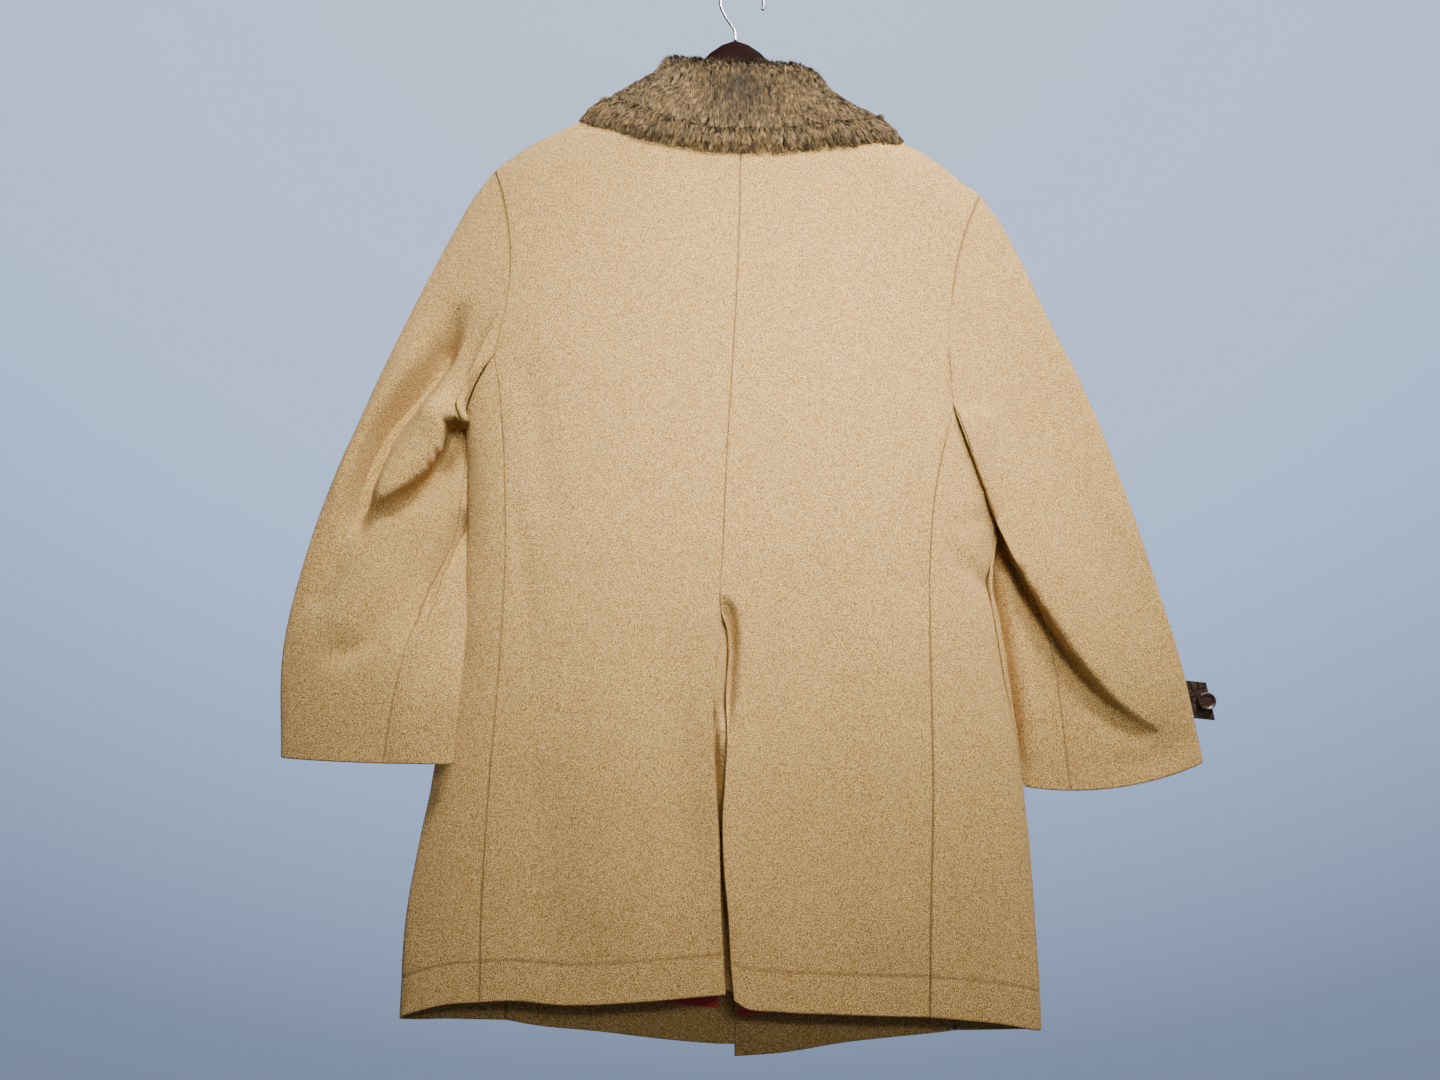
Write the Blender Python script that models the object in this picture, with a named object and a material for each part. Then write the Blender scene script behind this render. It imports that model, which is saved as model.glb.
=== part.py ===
"""Long wool coat with a fur collar, hanging on its wooden hanger, seen from the back in the photo.

Lengths are millimetres until a mesh is made. x runs to the photo's right, y away from the camera
and z up. The origin is the inside top of the hook, and the coat's back faces -y.
"""
import math

import bpy
import numpy as np

MM = 0.001
CLOTH = 2.0          # thickness of the cloth
LINING = 1.0         # thickness of the lining
SEAM = 0.15          # each piece stops this far short of a seam
LAP = 0.6            # room between two layers that lie on each other
SQUARENESS = 2.6     # how square the body's flat ring is

# ---- the body: height z, left edge x, right edge x, back depth, front depth, y of the side edges
BODY = np.array([
    (-60, -275, 262, 44, 20, 3),
    (-150, -275, 261, 46, 20, 4),
    (-250, -274, 260, 49, 18, 6),
    (-350, -272, 256, 51, 15, 7),
    (-448, -268, 252, 52, 14, 8),
    (-525, -266, 247, 52, 14, 8),
    (-580, -265, 238, 52, 14, 8),
    (-608, -267, 236, 51, 14, 8),
    (-641, -270, 242, 51, 14, 8),
    (-692, -275, 249, 50, 14, 9),
    (-771, -288, 258, 47, 14, 9),
    (-844, -302, 265, 43, 14, 10),
    (-916, -312, 268, 40, 14, 10),
    (-980, -314, 270, 38, 14, 10),
    (-1050, -315, 270, 37, 14, 10),
], dtype=float)

# ---- the shoulder line from the left shoulder point to the right one: x, z
SHOULDER = np.array([
    (-260, -207), (-244, -198), (-221, -181), (-201, -169), (-181, -159), (-154, -147), (-125, -133),
    (-99, -119), (-79, -108), (-40, -92), (0, -86), (40, -98), (78, -126), (97, -139), (127, -153),
    (151, -168), (176, -181), (196, -195), (215, -211), (233, -223), (250, -236),
], dtype=float)
BACK_ROUNDING = 70.0
FRONT_ROUNDING = 40.0

# ---- seams and edges that bound the panels: x, z from the top down
NECK = {
    "left": [(-2, -140), (-28, -138), (-52, -129), (-69, -116), (-79, -108)],
    "right": [(-2, -140), (28, -141), (52, -137), (69, -131), (78, -126)],
}
SHOULDER_RUN = {
    "left": [(-99, -119), (-125, -133), (-154, -147), (-181, -159), (-201, -169), (-221, -181),
             (-244, -198)],
    "right": [(97, -139), (127, -153), (151, -168), (176, -181), (196, -195), (215, -211),
              (233, -223)],
}
BACK_ARMHOLE = {
    "left": [(-244, -198), (-232, -231), (-227, -253), (-223, -280), (-222, -304), (-224, -333),
             (-229, -362), (-233, -378), (-236, -391)],
    "right": [(233, -223), (218, -256), (206, -290), (198, -332), (194, -377), (194, -407),
              (195.4, -428), (197, -442)],
}
FRONT_ARMHOLE = {
    "left": [(-244, -198), (-230, -231), (-222, -260), (-215, -295), (-211, -335), (-210.3, -362),
             (-211, -385)],
    "right": [(233, -223), (216, -256), (203, -292), (193, -335), (187, -380), (185.6, -405),
              (186, -422)],
}
BACK_SEAM = {
    "left": [(-236, -391), (-231, -421), (-227, -457), (-224, -493), (-221, -587), (-225, -696),
             (-232, -803), (-236, -891), (-236, -981)],
    "right": [(197, -442), (186, -481), (177, -523), (171, -578), (169, -643), (169, -715),
              (169, -803), (166, -890), (163, -993)],
}
FRONT_SEAM = {
    "left": [(-211, -385), (-210.5, -398), (-209, -418), (-206, -455), (-203, -550), (-204, -650), (-212, -800), (-220, -1008)],
    "right": [(186, -422), (185.4, -435), (184.2, -455), (182, -485), (178, -560), (178, -660), (186, -800), (194, -1017)],
}
CENTRE_BACK = {
    "left": [(-2, -140), (-3, -210), (-5, -294), (-10, -391), (-16, -486), (-20, -579), (-22.4, -620),
             (-23, -635), (-23.2, -664), (-26, -695), (-28, -736), (-26, -785), (-23, -832), (-21, -904), (-19, -940),
             (-17, -972)],
    "right": [(-2, -140), (-3, -210), (-5, -294), (-10, -391), (-16, -486), (-20, -579), (-22.4, -620),
              (-21, -635), (-16, -651), (-14.5, -670), (-17, -708), (-16, -745), (-18, -785), (-20, -815),
              (-19, -860), (-15, -905), (-13, -945), (-10, -976)],
}
FRONT_EDGE = {
    "left": [(-79, -108), (-62, -170), (-38, -245), (-8, -320), (16, -370), (40, -428), (41, -560),
             (41, -750), (40, -1027)],
    "right": [(78, -126), (70, -185), (50, -255), (28, -330), (8, -385), (-8, -430), (-9, -560),
              (-9, -750), (-9, -1040)],
}
BACK_HEM = {
    "left": [(-17, -972), (-95, -979), (-161, -982), (-206, -979), (-236, -981)],
    "right": [(-10, -976), (0, -983), (30, -987), (92, -990), (163, -993)],
}
FRONT_HEM = {
    "left": [(40, -1027), (-14, -1030), (-72, -1026), (-133, -1019), (-193, -1013), (-220, -1008)],
    "right": [(-9, -1040), (33, -1037), (88, -1029), (143, -1023), (180, -1019), (194, -1017)],
}
# ---- top and bottom of a side piece: share of the way from back seam to front seam, top z, hem z
SIDE_ENDS = {
    "left": np.array([
        (0.0, -391, -981), (0.1, -407, -984), (0.2, -423, -990), (0.3, -438, -996),
        (0.4, -450, -1001), (0.5, -455, -1004), (0.6, -452, -1005), (0.7, -443, -1006),
        (0.8, -428, -1006), (0.9, -408, -1007), (1.0, -385, -1008)], dtype=float),
    "right": np.array([
        (0.0, -442, -993), (0.1, -453, -997), (0.2, -464, -1001), (0.3, -474, -1006),
        (0.4, -482, -1010), (0.5, -486, -1012), (0.6, -483, -1013), (0.7, -475, -1014),
        (0.8, -461, -1015), (0.9, -443, -1016), (1.0, -422, -1017)], dtype=float),
}

# ---- the sleeves: way down the arm, outer x, outer z, inner x, inner z, outer y, inner y,
#      half thickness, angle of the back seam
SLEEVE = {
    "left": np.array([
        (0.00, -244, -198, -269, -455, 0, 8, 16, 106),
        (0.07, -265, -229, -270, -465, -2, 7, 17, 108),
        (0.15, -287, -272, -269, -478, -4, 6, 17, 112),
        (0.25, -313, -327, -268.5, -498, -6, 3, 17, 119),
        (0.40, -350, -412, -267.5, -540, -9, -5, 16, 127),
        (0.55, -382, -492, -266, -588, -11, -16, 15, 125),
        (0.70, -409, -577, -259, -640, -13, -27, 14, 118),
        (0.85, -427, -670, -257, -706, -14, -33, 13, 110),
        (1.00, -424, -767, -261, -771, -15, -34, 12, 103)], dtype=float),
    "right": np.array([
        (0.00, 233, -223, 252, -488, 0, 8, 16, 92),
        (0.07, 251, -250, 253, -498, -1, 11, 17, 95),
        (0.15, 270, -288, 251, -512, -2, 14, 17, 101),
        (0.25, 293, -343, 247, -532, -3, 18, 17, 111),
        (0.40, 328, -420, 239, -574, -4, 21, 17, 124),
        (0.55, 358, -505, 235, -618, -5, 22, 16, 132),
        (0.70, 384, -592, 241, -668, -5, 22, 15, 131),
        (0.85, 409, -684, 252, -732, -4, 21, 14, 126),
        (1.00, 425, -772, 265, -797, -3, 18, 12, 121)], dtype=float),
}
SLEEVE_MERGE = 0.34       # way down the arm over which the armhole's shape fades out
PIT_MERGE = (0.015, 0.07, 0.06)   # the same near the pit, in x, y and z: first out, then down
RING_SAG = 1.2            # how far the rings near the shoulder hang below straight lines
STAND_OFF = 4.0           # how far the cloth below the armhole stands off the body
CUFF_SAG = {"left": 1.0, "right": 11.0}    # how far the middle of the cuff hangs below its ends
ARMHOLE_SEAM = 1.2        # room at the armholes, where round edges of different pieces meet
SLEEVE_GAP = 0.055        # share of a column by which each sleeve piece stops short of its seam
FRONT_SLEEVE_SEAM = 252   # angle of the hidden seam of the sleeves

# ---- the largest folds: side, strength mm (minus comes towards the camera), width mm, then x, z points
FOLDS = [
    ("left", 13, 17, [(-300, -428), (-322, -458), (-345, -500), (-362, -540), (-368, -560)]),
    ("left", -8, 15, [(-282, -430), (-305, -462), (-328, -498), (-346, -528)]),
    ("left", 15, 13, [(-276, -462), (-292, -482), (-310, -506), (-334, -532)]),
    ("left", 9, 13, [(-272, -590), (-282, -618), (-297, -646)]),
]
# ---- the right sleeve's hanging fold: x, z of its edge and how far the cloth stands out beside it
HANGING_FOLD = np.array([
    (196, -440, 3), (209, -473, 9), (223, -501, 13), (250, -551, 18), (275, -601, 20), (300, -653, 18),
    (332, -704, 12), (365, -737, 5), (395, -765, 0)], dtype=float)
FOLD_REACH = 75.0

# ---- the collar, from the back's centre to the tip of a front:
#      neck x, neck z, edge x, edge z, rise, up x, up y, up z, which side of the shoulder line
COLLAR = {
    "left": np.array([
        (-2, -140, 0, -197, 34, 0.00, -0.05, 0.99, -1),
        (-28, -138, -36, -195, 33, 0.00, -0.03, 0.99, -1),
        (-52, -129, -83, -186, 27, 0.10, 0.00, 0.97, -1),
        (-69, -116, -122, -173, 19, 0.25, 0.05, 0.95, -1),
        (-76, -110, -146, -164, 16, 0.40, 0.05, 0.90, -1),
        (-79, -108, -158, -149, 15, 0.48, 0.05, 0.87, 0),
        (-79, -113, -158, -168, 12, 0.60, 0.10, 0.78, 1),
        (-75, -130, -154, -196, 9, 0.80, 0.10, 0.55, 1),
        (-62, -170, -144, -235, 7, 0.90, 0.00, 0.40, 1),
        (-38, -245, -122, -300, 7, 0.92, 0.00, 0.36, 1),
        (-8, -320, -88, -362, 7, 0.92, 0.00, 0.36, 1),
        (16, -370, -42, -410, 7, 0.92, 0.00, 0.36, 1),
        (36, -419, 14, -436, 6, 0.92, 0.00, 0.36, 1)], dtype=float),
    "right": np.array([
        (-2, -140, 0, -197, 34, 0.00, -0.05, 0.99, -1),
        (28, -141, 40, -196, 34, 0.00, -0.03, 0.99, -1),
        (52, -137, 83, -190, 29, -0.10, 0.00, 0.97, -1),
        (69, -131, 120, -185, 21, -0.25, 0.05, 0.95, -1),
        (75, -128, 145, -183, 17, -0.40, 0.05, 0.90, -1),
        (78, -126, 155, -171, 14, -0.48, 0.05, 0.87, 0),
        (78, -131, 156, -188, 12, -0.60, 0.10, 0.78, 1),
        (75, -148, 153, -214, 9, -0.80, 0.10, 0.55, 1),
        (70, -185, 146, -250, 7, -0.90, 0.00, 0.40, 1),
        (58, -232, 134, -296, 7, -0.92, 0.00, 0.36, 1),
        (48, -268, 118, -338, 7, -0.92, 0.00, 0.36, 1),
        (38, -300, 98, -376, 7, -0.92, 0.00, 0.36, 1),
        (29, -326, 70, -412, 6, -0.92, 0.00, 0.36, 1)], dtype=float),
}
FUR = 13.0                # thickness of the fur on the cloth
COLLAR_SEAM = 0.63        # share of the fall above the seam across the fur
UNDER_FUR = 2.0           # room between the fur collar and the cloth under it
COLLAR_STEPS = (2, 2, 2, 3, 4, 4, 3, 3, 2, 2, 2, 2)   # sections between two rows of the table

# ---- the hanger: x, top z, height, half thickness; and its wire hook
HANGER = np.array([
    (-224, -188.52, 11, 3.5), (-216, -182.02, 15, 4.2), (-200, -172.02, 18, 4.8), (-170, -158.02, 21, 5.2),
    (-135, -142.02, 24, 5.5), (-100, -123.02, 27, 6.0), (-82, -115.02, 30, 6.2), (-68, -109, 35, 6.4),
    (-54, -98, 38, 6.6), (-42, -86, 42, 6.8), (-32, -74, 47, 7.0), (-20, -65.5, 52, 7.0),
    (-7, -61, 55, 7.0), (6, -65.5, 52, 7.0), (18, -74, 50, 7.0), (30, -88, 44, 6.8),
    (44, -104, 36, 6.6), (60, -121, 32, 6.4), (80, -133.77, 28, 6.2), (100, -144.77, 25, 5.8),
    (130, -158.77, 23, 5.5), (160, -176.77, 20, 5.2), (190, -194.77, 17, 4.8), (205, -206.77, 14, 4.2),
    (214, -214.27, 11, 3.5),
], dtype=float)
HANGER_Y = -2.0
WIRE = 1.75
HOOK_RADIUS = 21.75
HOOK_CENTRE = (0.0, -20.0)
HOOK_STEM = [(-7.0, -61.6), (-7.1, -55.0), (-8.0, -49.5), (-11.5, -43.5), (-16.0, -37.0)]
HOOK_ARC = (208.0, -18.0)   # start and end angle of the hook's round part

FRONT_BUTTON_X = 17.0
FRONT_BUTTONS_Z = (-452.0, -560.0, -668.0)
TAB_THICKNESS = 2.4

COLOURS = {
    "wool": (0.56, 0.42, 0.25, 0.9, 0.0),
    "fur": (0.36, 0.24, 0.13, 0.85, 0.0),
    "lining": (0.36, 0.06, 0.05, 0.5, 0.0),
    "leather": (0.05, 0.022, 0.014, 0.45, 0.0),
    "button": (0.03, 0.016, 0.011, 0.35, 0.0),
    "wood": (0.045, 0.012, 0.009, 0.3, 0.0),
    "steel": (0.55, 0.56, 0.58, 0.3, 1.0),
}


def smooth(rows, value):
    """The other columns of a table at a value of its first column, on a smooth curve."""
    keys = rows[:, 0]
    data = rows[:, 1:]
    if keys[0] > keys[-1]:
        keys = keys[::-1]
        data = data[::-1]
    value = min(max(value, keys[0]), keys[-1])
    i = min(max(int(np.searchsorted(keys, value)) - 1, 0), len(keys) - 2)
    width = keys[i + 1] - keys[i]
    rise = (data[i + 1] - data[i]) / width
    before = (data[i] - data[i - 1]) / (keys[i] - keys[i - 1]) if i > 0 else rise
    after = (data[i + 2] - data[i + 1]) / (keys[i + 2] - keys[i + 1]) if i + 2 < len(keys) else rise
    t = (value - keys[i]) / width
    start = 0.5 * (before + rise) * width
    end = 0.5 * (rise + after) * width
    step = data[i + 1] - data[i]
    return data[i] + t * start + t * t * (3 * step - 2 * start - end) + t ** 3 * (start + end - 2 * step)


def by_length(points):
    """A table of points with the share of the line's length as its first column."""
    points = np.array(points, dtype=float)
    steps = np.linalg.norm(np.diff(points, axis=0), axis=1)
    share = np.concatenate([[0.0], np.cumsum(steps)])
    return np.column_stack([share / share[-1], points])


def by_height(points):
    """A table of x against z."""
    points = np.array(points, dtype=float)
    return points[:, ::-1]


def ease(t):
    t = min(max(t, 0.0), 1.0)
    return t * t * (3.0 - 2.0 * t)


def distance_to(points, x, z):
    """Distance from x, z to a line of points, the share of its length there and the side."""
    best = (1e9, 0.0, 0.0)
    count = len(points) - 1
    for i in range(count):
        ax, az = points[i][0], points[i][1]
        bx, bz = points[i + 1][0], points[i + 1][1]
        dx, dz = bx - ax, bz - az
        t = ((x - ax) * dx + (z - az) * dz) / (dx * dx + dz * dz)
        t = min(max(t, 0.0), 1.0)
        px, pz = x - ax - t * dx, z - az - t * dz
        distance = math.hypot(px, pz)
        if distance < best[0]:
            best = (distance, (i + t) / count, dx * pz - dz * px)
    return best


# ------------------------------------------------------------------ the body's surface

def rounding(x, z, reach):
    """0 on the shoulder line and 1 from a reach below it, round between them."""
    below = float(smooth(SHOULDER, x)[0]) - z
    t = 1.0 - min(max(below / reach, 0.0), 1.0)
    return math.sqrt(max(0.0, 1.0 - t * t)), below


def body_y(x, z, back):
    """y of the coat's outer surface at x, z on its back or its front."""
    left, right, back_depth, front_depth, edge_y = smooth(BODY, z)
    middle, half = 0.5 * (left + right), 0.5 * (right - left)
    across = min(abs((x - middle) / half), 1.0)
    full = (1.0 - across ** SQUARENESS) ** (1.0 / SQUARENESS)
    if back:
        share, below = rounding(x, z, BACK_ROUNDING)
        return edge_y * ease(below / 80.0) - back_depth * share * full
    share, below = rounding(x, z, FRONT_ROUNDING)
    return edge_y * ease(below / 80.0) + front_depth * share * full


def body_normal(x, z, back):
    """Outward direction of the coat's surface at x, z."""
    step = 0.5
    here = body_y(x, z, back)
    slope_x = (body_y(x + step, z, back) - body_y(x - step, z, back)) / (2 * step)
    slope_z = (here - body_y(x, z - step, back)) / step
    normal = np.array([slope_x, -1.0, slope_z]) if back else np.array([-slope_x, 1.0, -slope_z])
    return normal / np.linalg.norm(normal)


def ring_point(angle, z):
    """A point on the body's flat ring: 0 is the right edge, 90 the back, 180 the left edge."""
    left, right, back_depth, front_depth, edge_y = smooth(BODY, z)
    middle, half = 0.5 * (left + right), 0.5 * (right - left)
    turn = math.radians(angle)
    c, s = math.cos(turn), math.sin(turn)
    power = 2.0 / SQUARENESS
    x = middle + half * math.copysign(abs(c) ** power, c)
    depth = back_depth if s > 0 else front_depth
    return np.array([x, edge_y - math.copysign(depth * abs(s) ** power, s), z])


def ring_angle(x, z, back):
    """The ring's angle at x on the back or the front."""
    left, right = smooth(BODY, z)[:2]
    across = (x - 0.5 * (left + right)) / (0.5 * (right - left))
    c = math.copysign(min(abs(across), 1.0) ** (SQUARENESS / 2.0), across)
    angle = math.degrees(math.acos(c))
    return angle if back else 360.0 - angle


def side_point(side, share, down, lift=0.0):
    """A point on a side piece: share from the back seam to the front seam, down from top to hem."""
    top, hem = smooth(SIDE_ENDS[side], share)
    z = top + (hem - top) * down
    back = ring_angle(float(smooth(by_height(BACK_SEAM[side]), z)[0]), z, True)
    front = ring_angle(float(smooth(by_height(FRONT_SEAM[side]), z)[0]), z, False)
    if side == "right":
        front -= 360.0
    angle = back + (front - back) * share
    point = ring_point(angle, z)
    ahead, behind = ring_point(angle + 1.5, z), ring_point(angle - 1.5, z)
    normal = np.array([-(ahead - behind)[1], (ahead - behind)[0], 0.0])
    normal /= np.linalg.norm(normal)
    return point + normal * lift, normal


# ------------------------------------------------------------------ solids from grids of points

def add_solid(name, vertices, faces, colour):
    """One closed body in the scene, its faces turned outward."""
    vertices = np.array(vertices, dtype=float)
    volume = 0.0
    for face in faces:
        a = vertices[face[0]]
        for b, c in zip(face[1:-1], face[2:]):
            volume += float(np.dot(a, np.cross(vertices[b], vertices[c])))
    if volume < 0:
        faces = [tuple(reversed(face)) for face in faces]
    mesh = bpy.data.meshes.new(name)
    mesh.from_pydata([tuple(v * MM) for v in vertices], [], faces)
    mesh.update()
    body = bpy.data.objects.new(name, mesh)
    body.data.materials.append(material(colour))
    bpy.context.scene.collection.objects.link(body)
    return body


def material(colour):
    found = bpy.data.materials.get(colour)
    if found:
        return found
    made = bpy.data.materials.new(colour)
    made.use_nodes = True
    shader = made.node_tree.nodes["Principled BSDF"]
    red, green, blue, rough, metal = COLOURS[colour]
    shader.inputs["Base Color"].default_value = (red, green, blue, 1.0)
    shader.inputs["Roughness"].default_value = rough
    shader.inputs["Metallic"].default_value = metal
    return made


def wall(name, outer, normals, colour, thickness=CLOTH):
    """A sheet of cloth: the outer grid, the same grid moved inward, and a rim round both."""
    outer = np.array(outer, dtype=float)
    inner = outer - np.array(normals, dtype=float) * thickness
    rows, cols = outer.shape[:2]
    vertices = np.concatenate([outer.reshape(-1, 3), inner.reshape(-1, 3)])
    size = rows * cols
    faces = []
    for r in range(rows - 1):
        for c in range(cols - 1):
            a, b = r * cols + c, r * cols + c + 1
            d, e = a + cols, b + cols
            faces.append((a, b, e, d))
            faces.append((size + a, size + d, size + e, size + b))
    rim = [c for c in range(cols)]
    rim += [r * cols + cols - 1 for r in range(1, rows)]
    rim += [(rows - 1) * cols + c for c in range(cols - 2, -1, -1)]
    rim += [r * cols for r in range(rows - 2, 0, -1)]
    for a, b in zip(rim, rim[1:] + rim[:1]):
        faces.append((a, size + a, size + b, b))
    return add_solid(name, vertices, faces, colour)


def loft(name, loops, colour):
    """A closed body through loops of equal length, capped at both ends."""
    loops = [np.array(loop, dtype=float) for loop in loops]
    count = len(loops[0])
    vertices = np.concatenate(loops)
    faces = []
    for r in range(len(loops) - 1):
        for c in range(count):
            a, b = r * count + c, r * count + (c + 1) % count
            faces.append((a, b, b + count, a + count))
    faces.append(tuple(range(count - 1, -1, -1)))
    last = (len(loops) - 1) * count
    faces.append(tuple(range(last, last + count)))
    return add_solid(name, vertices, faces, colour)


def grid_normals(grid, closed=False):
    """Directions square to a grid of points, from its neighbours."""
    grid = np.array(grid, dtype=float)
    along = np.gradient(grid, axis=0)
    if closed:
        wrapped = np.concatenate([grid[:, -2:-1], grid, grid[:, 1:2]], axis=1)
        across = (wrapped[:, 2:] - wrapped[:, :-2]) / 2.0
    else:
        across = np.gradient(grid, axis=1)
    normal = np.cross(across, along)
    return normal / np.maximum(np.linalg.norm(normal, axis=2, keepdims=True), 1e-9)


def calm(normals, rounds):
    """Directions on a closed ring of columns, evened out with their neighbours."""
    ring = normals[:, :-1]
    for _ in range(rounds):
        beside = np.roll(ring, 1, axis=1) + np.roll(ring, -1, axis=1)
        padded = np.concatenate([ring[:1], ring, ring[-1:]])
        ring = ring * 2.0 + beside + padded[:-2] + padded[2:]
        ring /= np.linalg.norm(ring, axis=2, keepdims=True)
    return np.concatenate([ring, ring[:, :1]], axis=1)


# ------------------------------------------------------------------ panels of the body

def patch(top, bottom, inner, outer, s, t):
    """x, z inside four boundary lines: s from inner to outer, t from top to bottom."""
    a, b = smooth(top, s), smooth(bottom, s)
    c, d = smooth(inner, t), smooth(outer, t)
    corners = ((1 - s) * (1 - t) * inner[0, 1:] + s * (1 - t) * outer[0, 1:]
               + (1 - s) * t * inner[-1, 1:] + s * t * outer[-1, 1:])
    return (1 - t) * a + t * b + (1 - s) * c + s * d - corners


def steps(count, start, end, power=1.0):
    return [start + (end - start) * (i / count) ** power for i in range(count + 1)]


def panel_lines(side, back):
    """The four lines round a back or a front panel, as tables by length."""
    run = SHOULDER_RUN[side]
    if back:
        top = NECK[side] + run
        outer = BACK_ARMHOLE[side] + BACK_SEAM[side][1:]
        inner, bottom = CENTRE_BACK[side], BACK_HEM[side]
    else:
        top = [NECK[side][-1]] + run
        outer = FRONT_ARMHOLE[side] + FRONT_SEAM[side][1:]
        inner, bottom = FRONT_EDGE[side], FRONT_HEM[side]
    return by_length(top), by_length(bottom), by_length(inner), by_length(outer)


def lap_depth(side, back, x, z):
    """How far the right front lies under the left one."""
    if back or side == "left":
        return 0.0
    return (CLOTH + LAP) * (1.0 - ease((x - 45.0) / 60.0))


def panel(name, side, back, cols, rows):
    lines = panel_lines(side, back)
    width = 260.0 if back else 200.0
    height = 860.0
    armhole_end = (BACK_ARMHOLE if back else FRONT_ARMHOLE)[side][-1][1] - 8.0
    grid, normals = [], []
    for t in steps(rows, 0.0, 1.0 - SEAM / height, 1.7):
        row, row_normals = [], []
        at_armhole = float(smooth(lines[3], t)[1]) > armhole_end
        far_gap = ARMHOLE_SEAM if at_armhole else SEAM
        for s in steps(cols, SEAM / width, 1.0 - far_gap / width):
            x, z = patch(*lines, s, t)
            on_shoulder = t == 0.0 and abs(x) > abs(NECK[side][-1][0]) - 1.0
            normal = body_normal(x, z, back)
            y = body_y(x, z, back)
            if on_shoulder:
                y = -SEAM if back else SEAM
                normal = np.array([normal[0], 0.0, normal[2]])
                normal /= np.linalg.norm(normal)
            else:
                y -= lap_depth(side, back, x, z)
            row.append((x, y, z))
            row_normals.append(normal)
        grid.append(row)
        normals.append(row_normals)
    wall(name, grid, normals, "wool")


def side_piece(name, side, cols, rows):
    grid, normals = [], []
    for down in steps(rows, 0.0055, 0.9997, 1.2):
        row = [side_point(side, share, down) for share in steps(cols, 0.0013, 0.9987)]
        grid.append([point for point, normal in row])
        normals.append([normal for point, normal in row])
    wall(name, grid, normals, "wool")


# ------------------------------------------------------------------ sleeves

def armhole(side):
    """The armhole's line round from the shoulder point by the back to the pit, then by the front."""
    back, front = [], []
    for x, z in BACK_ARMHOLE[side]:
        normal = body_normal(x, z, True)
        back.append((x, body_y(x, z, True), z, *normal))
    for share in steps(5, 0.1, 0.5):
        point, normal = side_point(side, share, 0.0)
        back.append((*point, *normal))
    for share in steps(5, 0.5, 0.9):
        point, normal = side_point(side, share, 0.0)
        front.append((*point, *normal))
    for x, z in reversed(FRONT_ARMHOLE[side]):
        normal = body_normal(x, z, False)
        front.append((x, body_y(x, z, False), z, *normal))
    top_x, top_z = BACK_ARMHOLE[side][0]
    for line, at in ((back, 0), (front, -1)):
        line[at] = (top_x, 0.0, top_z, 0.5 * math.copysign(1, top_x), 0.0, 0.86)
    return arm_table(back), arm_table(front)


def arm_table(line):
    line = np.array(line, dtype=float)
    gaps = np.linalg.norm(np.diff(line[:, :3], axis=0), axis=1)
    share = np.concatenate([[0.0], np.cumsum(gaps)])
    return np.column_stack([share / share[-1], line])


def sleeve_ring(side, angle, way):
    """A point on a sleeve before its folds: angle 0 outer edge, 90 back, 180 inner, 270 front."""
    outer_x, outer_z, inner_x, inner_z, outer_y, inner_y, half, _ = smooth(SLEEVE[side], way)
    turn = math.radians(angle)
    share = 0.5 * (1.0 - math.cos(turn))
    s = math.sin(turn)
    y = outer_y + (inner_y - outer_y) * share - math.copysign(half * abs(s) ** 0.85, s)
    down = 1.0 - (1.0 - share) ** (1.0 + RING_SAG * (1.0 - way) ** 2)
    return np.array([outer_x + (inner_x - outer_x) * share, y, outer_z + (inner_z - outer_z) * down])


def fold_shift(side, x, z):
    """How far the folds move the back of a sleeve along y."""
    shift = 0.0
    if side == "left":
        for _, strength, width, points in FOLDS:
            away, share, _ = distance_to(points, x, z)
            taper = min(1.0, 5.0 * min(share + 0.05, 1.05 - share))
            shift += strength * taper * math.exp(-(away / width) ** 2)
        return shift
    away, share, across = distance_to(HANGING_FOLD, x, z)
    keys = np.linspace(0.0, 1.0, len(HANGING_FOLD))
    stand = float(np.interp(share, keys, HANGING_FOLD[:, 2]))
    if across > 0:
        return -stand * (1.0 - ease(away / FOLD_REACH))
    return stand * 0.45 * ease(away / 12.0) - stand * (1.0 - ease(away / 12.0))


def sleeve_point(side, angle, way, loops):
    """A point on a sleeve, joined to the armhole's line at the top and with its folds."""
    point = sleeve_ring(side, angle, way)
    low = ease((min(angle, 360.0 - angle) - 85.0) / 50.0)
    loop, share = (loops[0], angle / 180.0) if angle <= 180 else (loops[1], angle / 180.0 - 1.0)
    seam = smooth(loop, share)
    fade = max(0.0, 1.0 - way / SLEEVE_MERGE) ** 2
    fades = np.array([fade + (math.exp(-way / reach) - fade) * low for reach in PIT_MERGE])
    point = point + (seam[:3] - sleeve_ring(side, angle, 0.0)) * fades
    stand = STAND_OFF * low * (1.0 - math.exp(-way / 0.012)) * (1.0 - ease((way - 0.08) / 0.25))
    point = point + seam[3:6] * stand
    point[2] -= CUFF_SAG[side] * abs(math.sin(math.radians(angle))) ** 2 * way ** 8
    if 0 < angle < 180:
        fade = ease(min(angle, 180.0 - angle) / 25.0) * ease(way / 0.12)
        point[1] += fade * fold_shift(side, point[0], point[2])
    return point


def sleeve_angles(way, side, counts):
    """Column angles: upper sleeve's back, under sleeve, upper sleeve's front."""
    seam = float(smooth(SLEEVE[side], way)[7])
    spans = ((0.0, seam), (seam, FRONT_SLEEVE_SEAM), (FRONT_SLEEVE_SEAM, 360.0))
    return [steps(count, a, b) for count, (a, b) in zip(counts, spans)]


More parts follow.
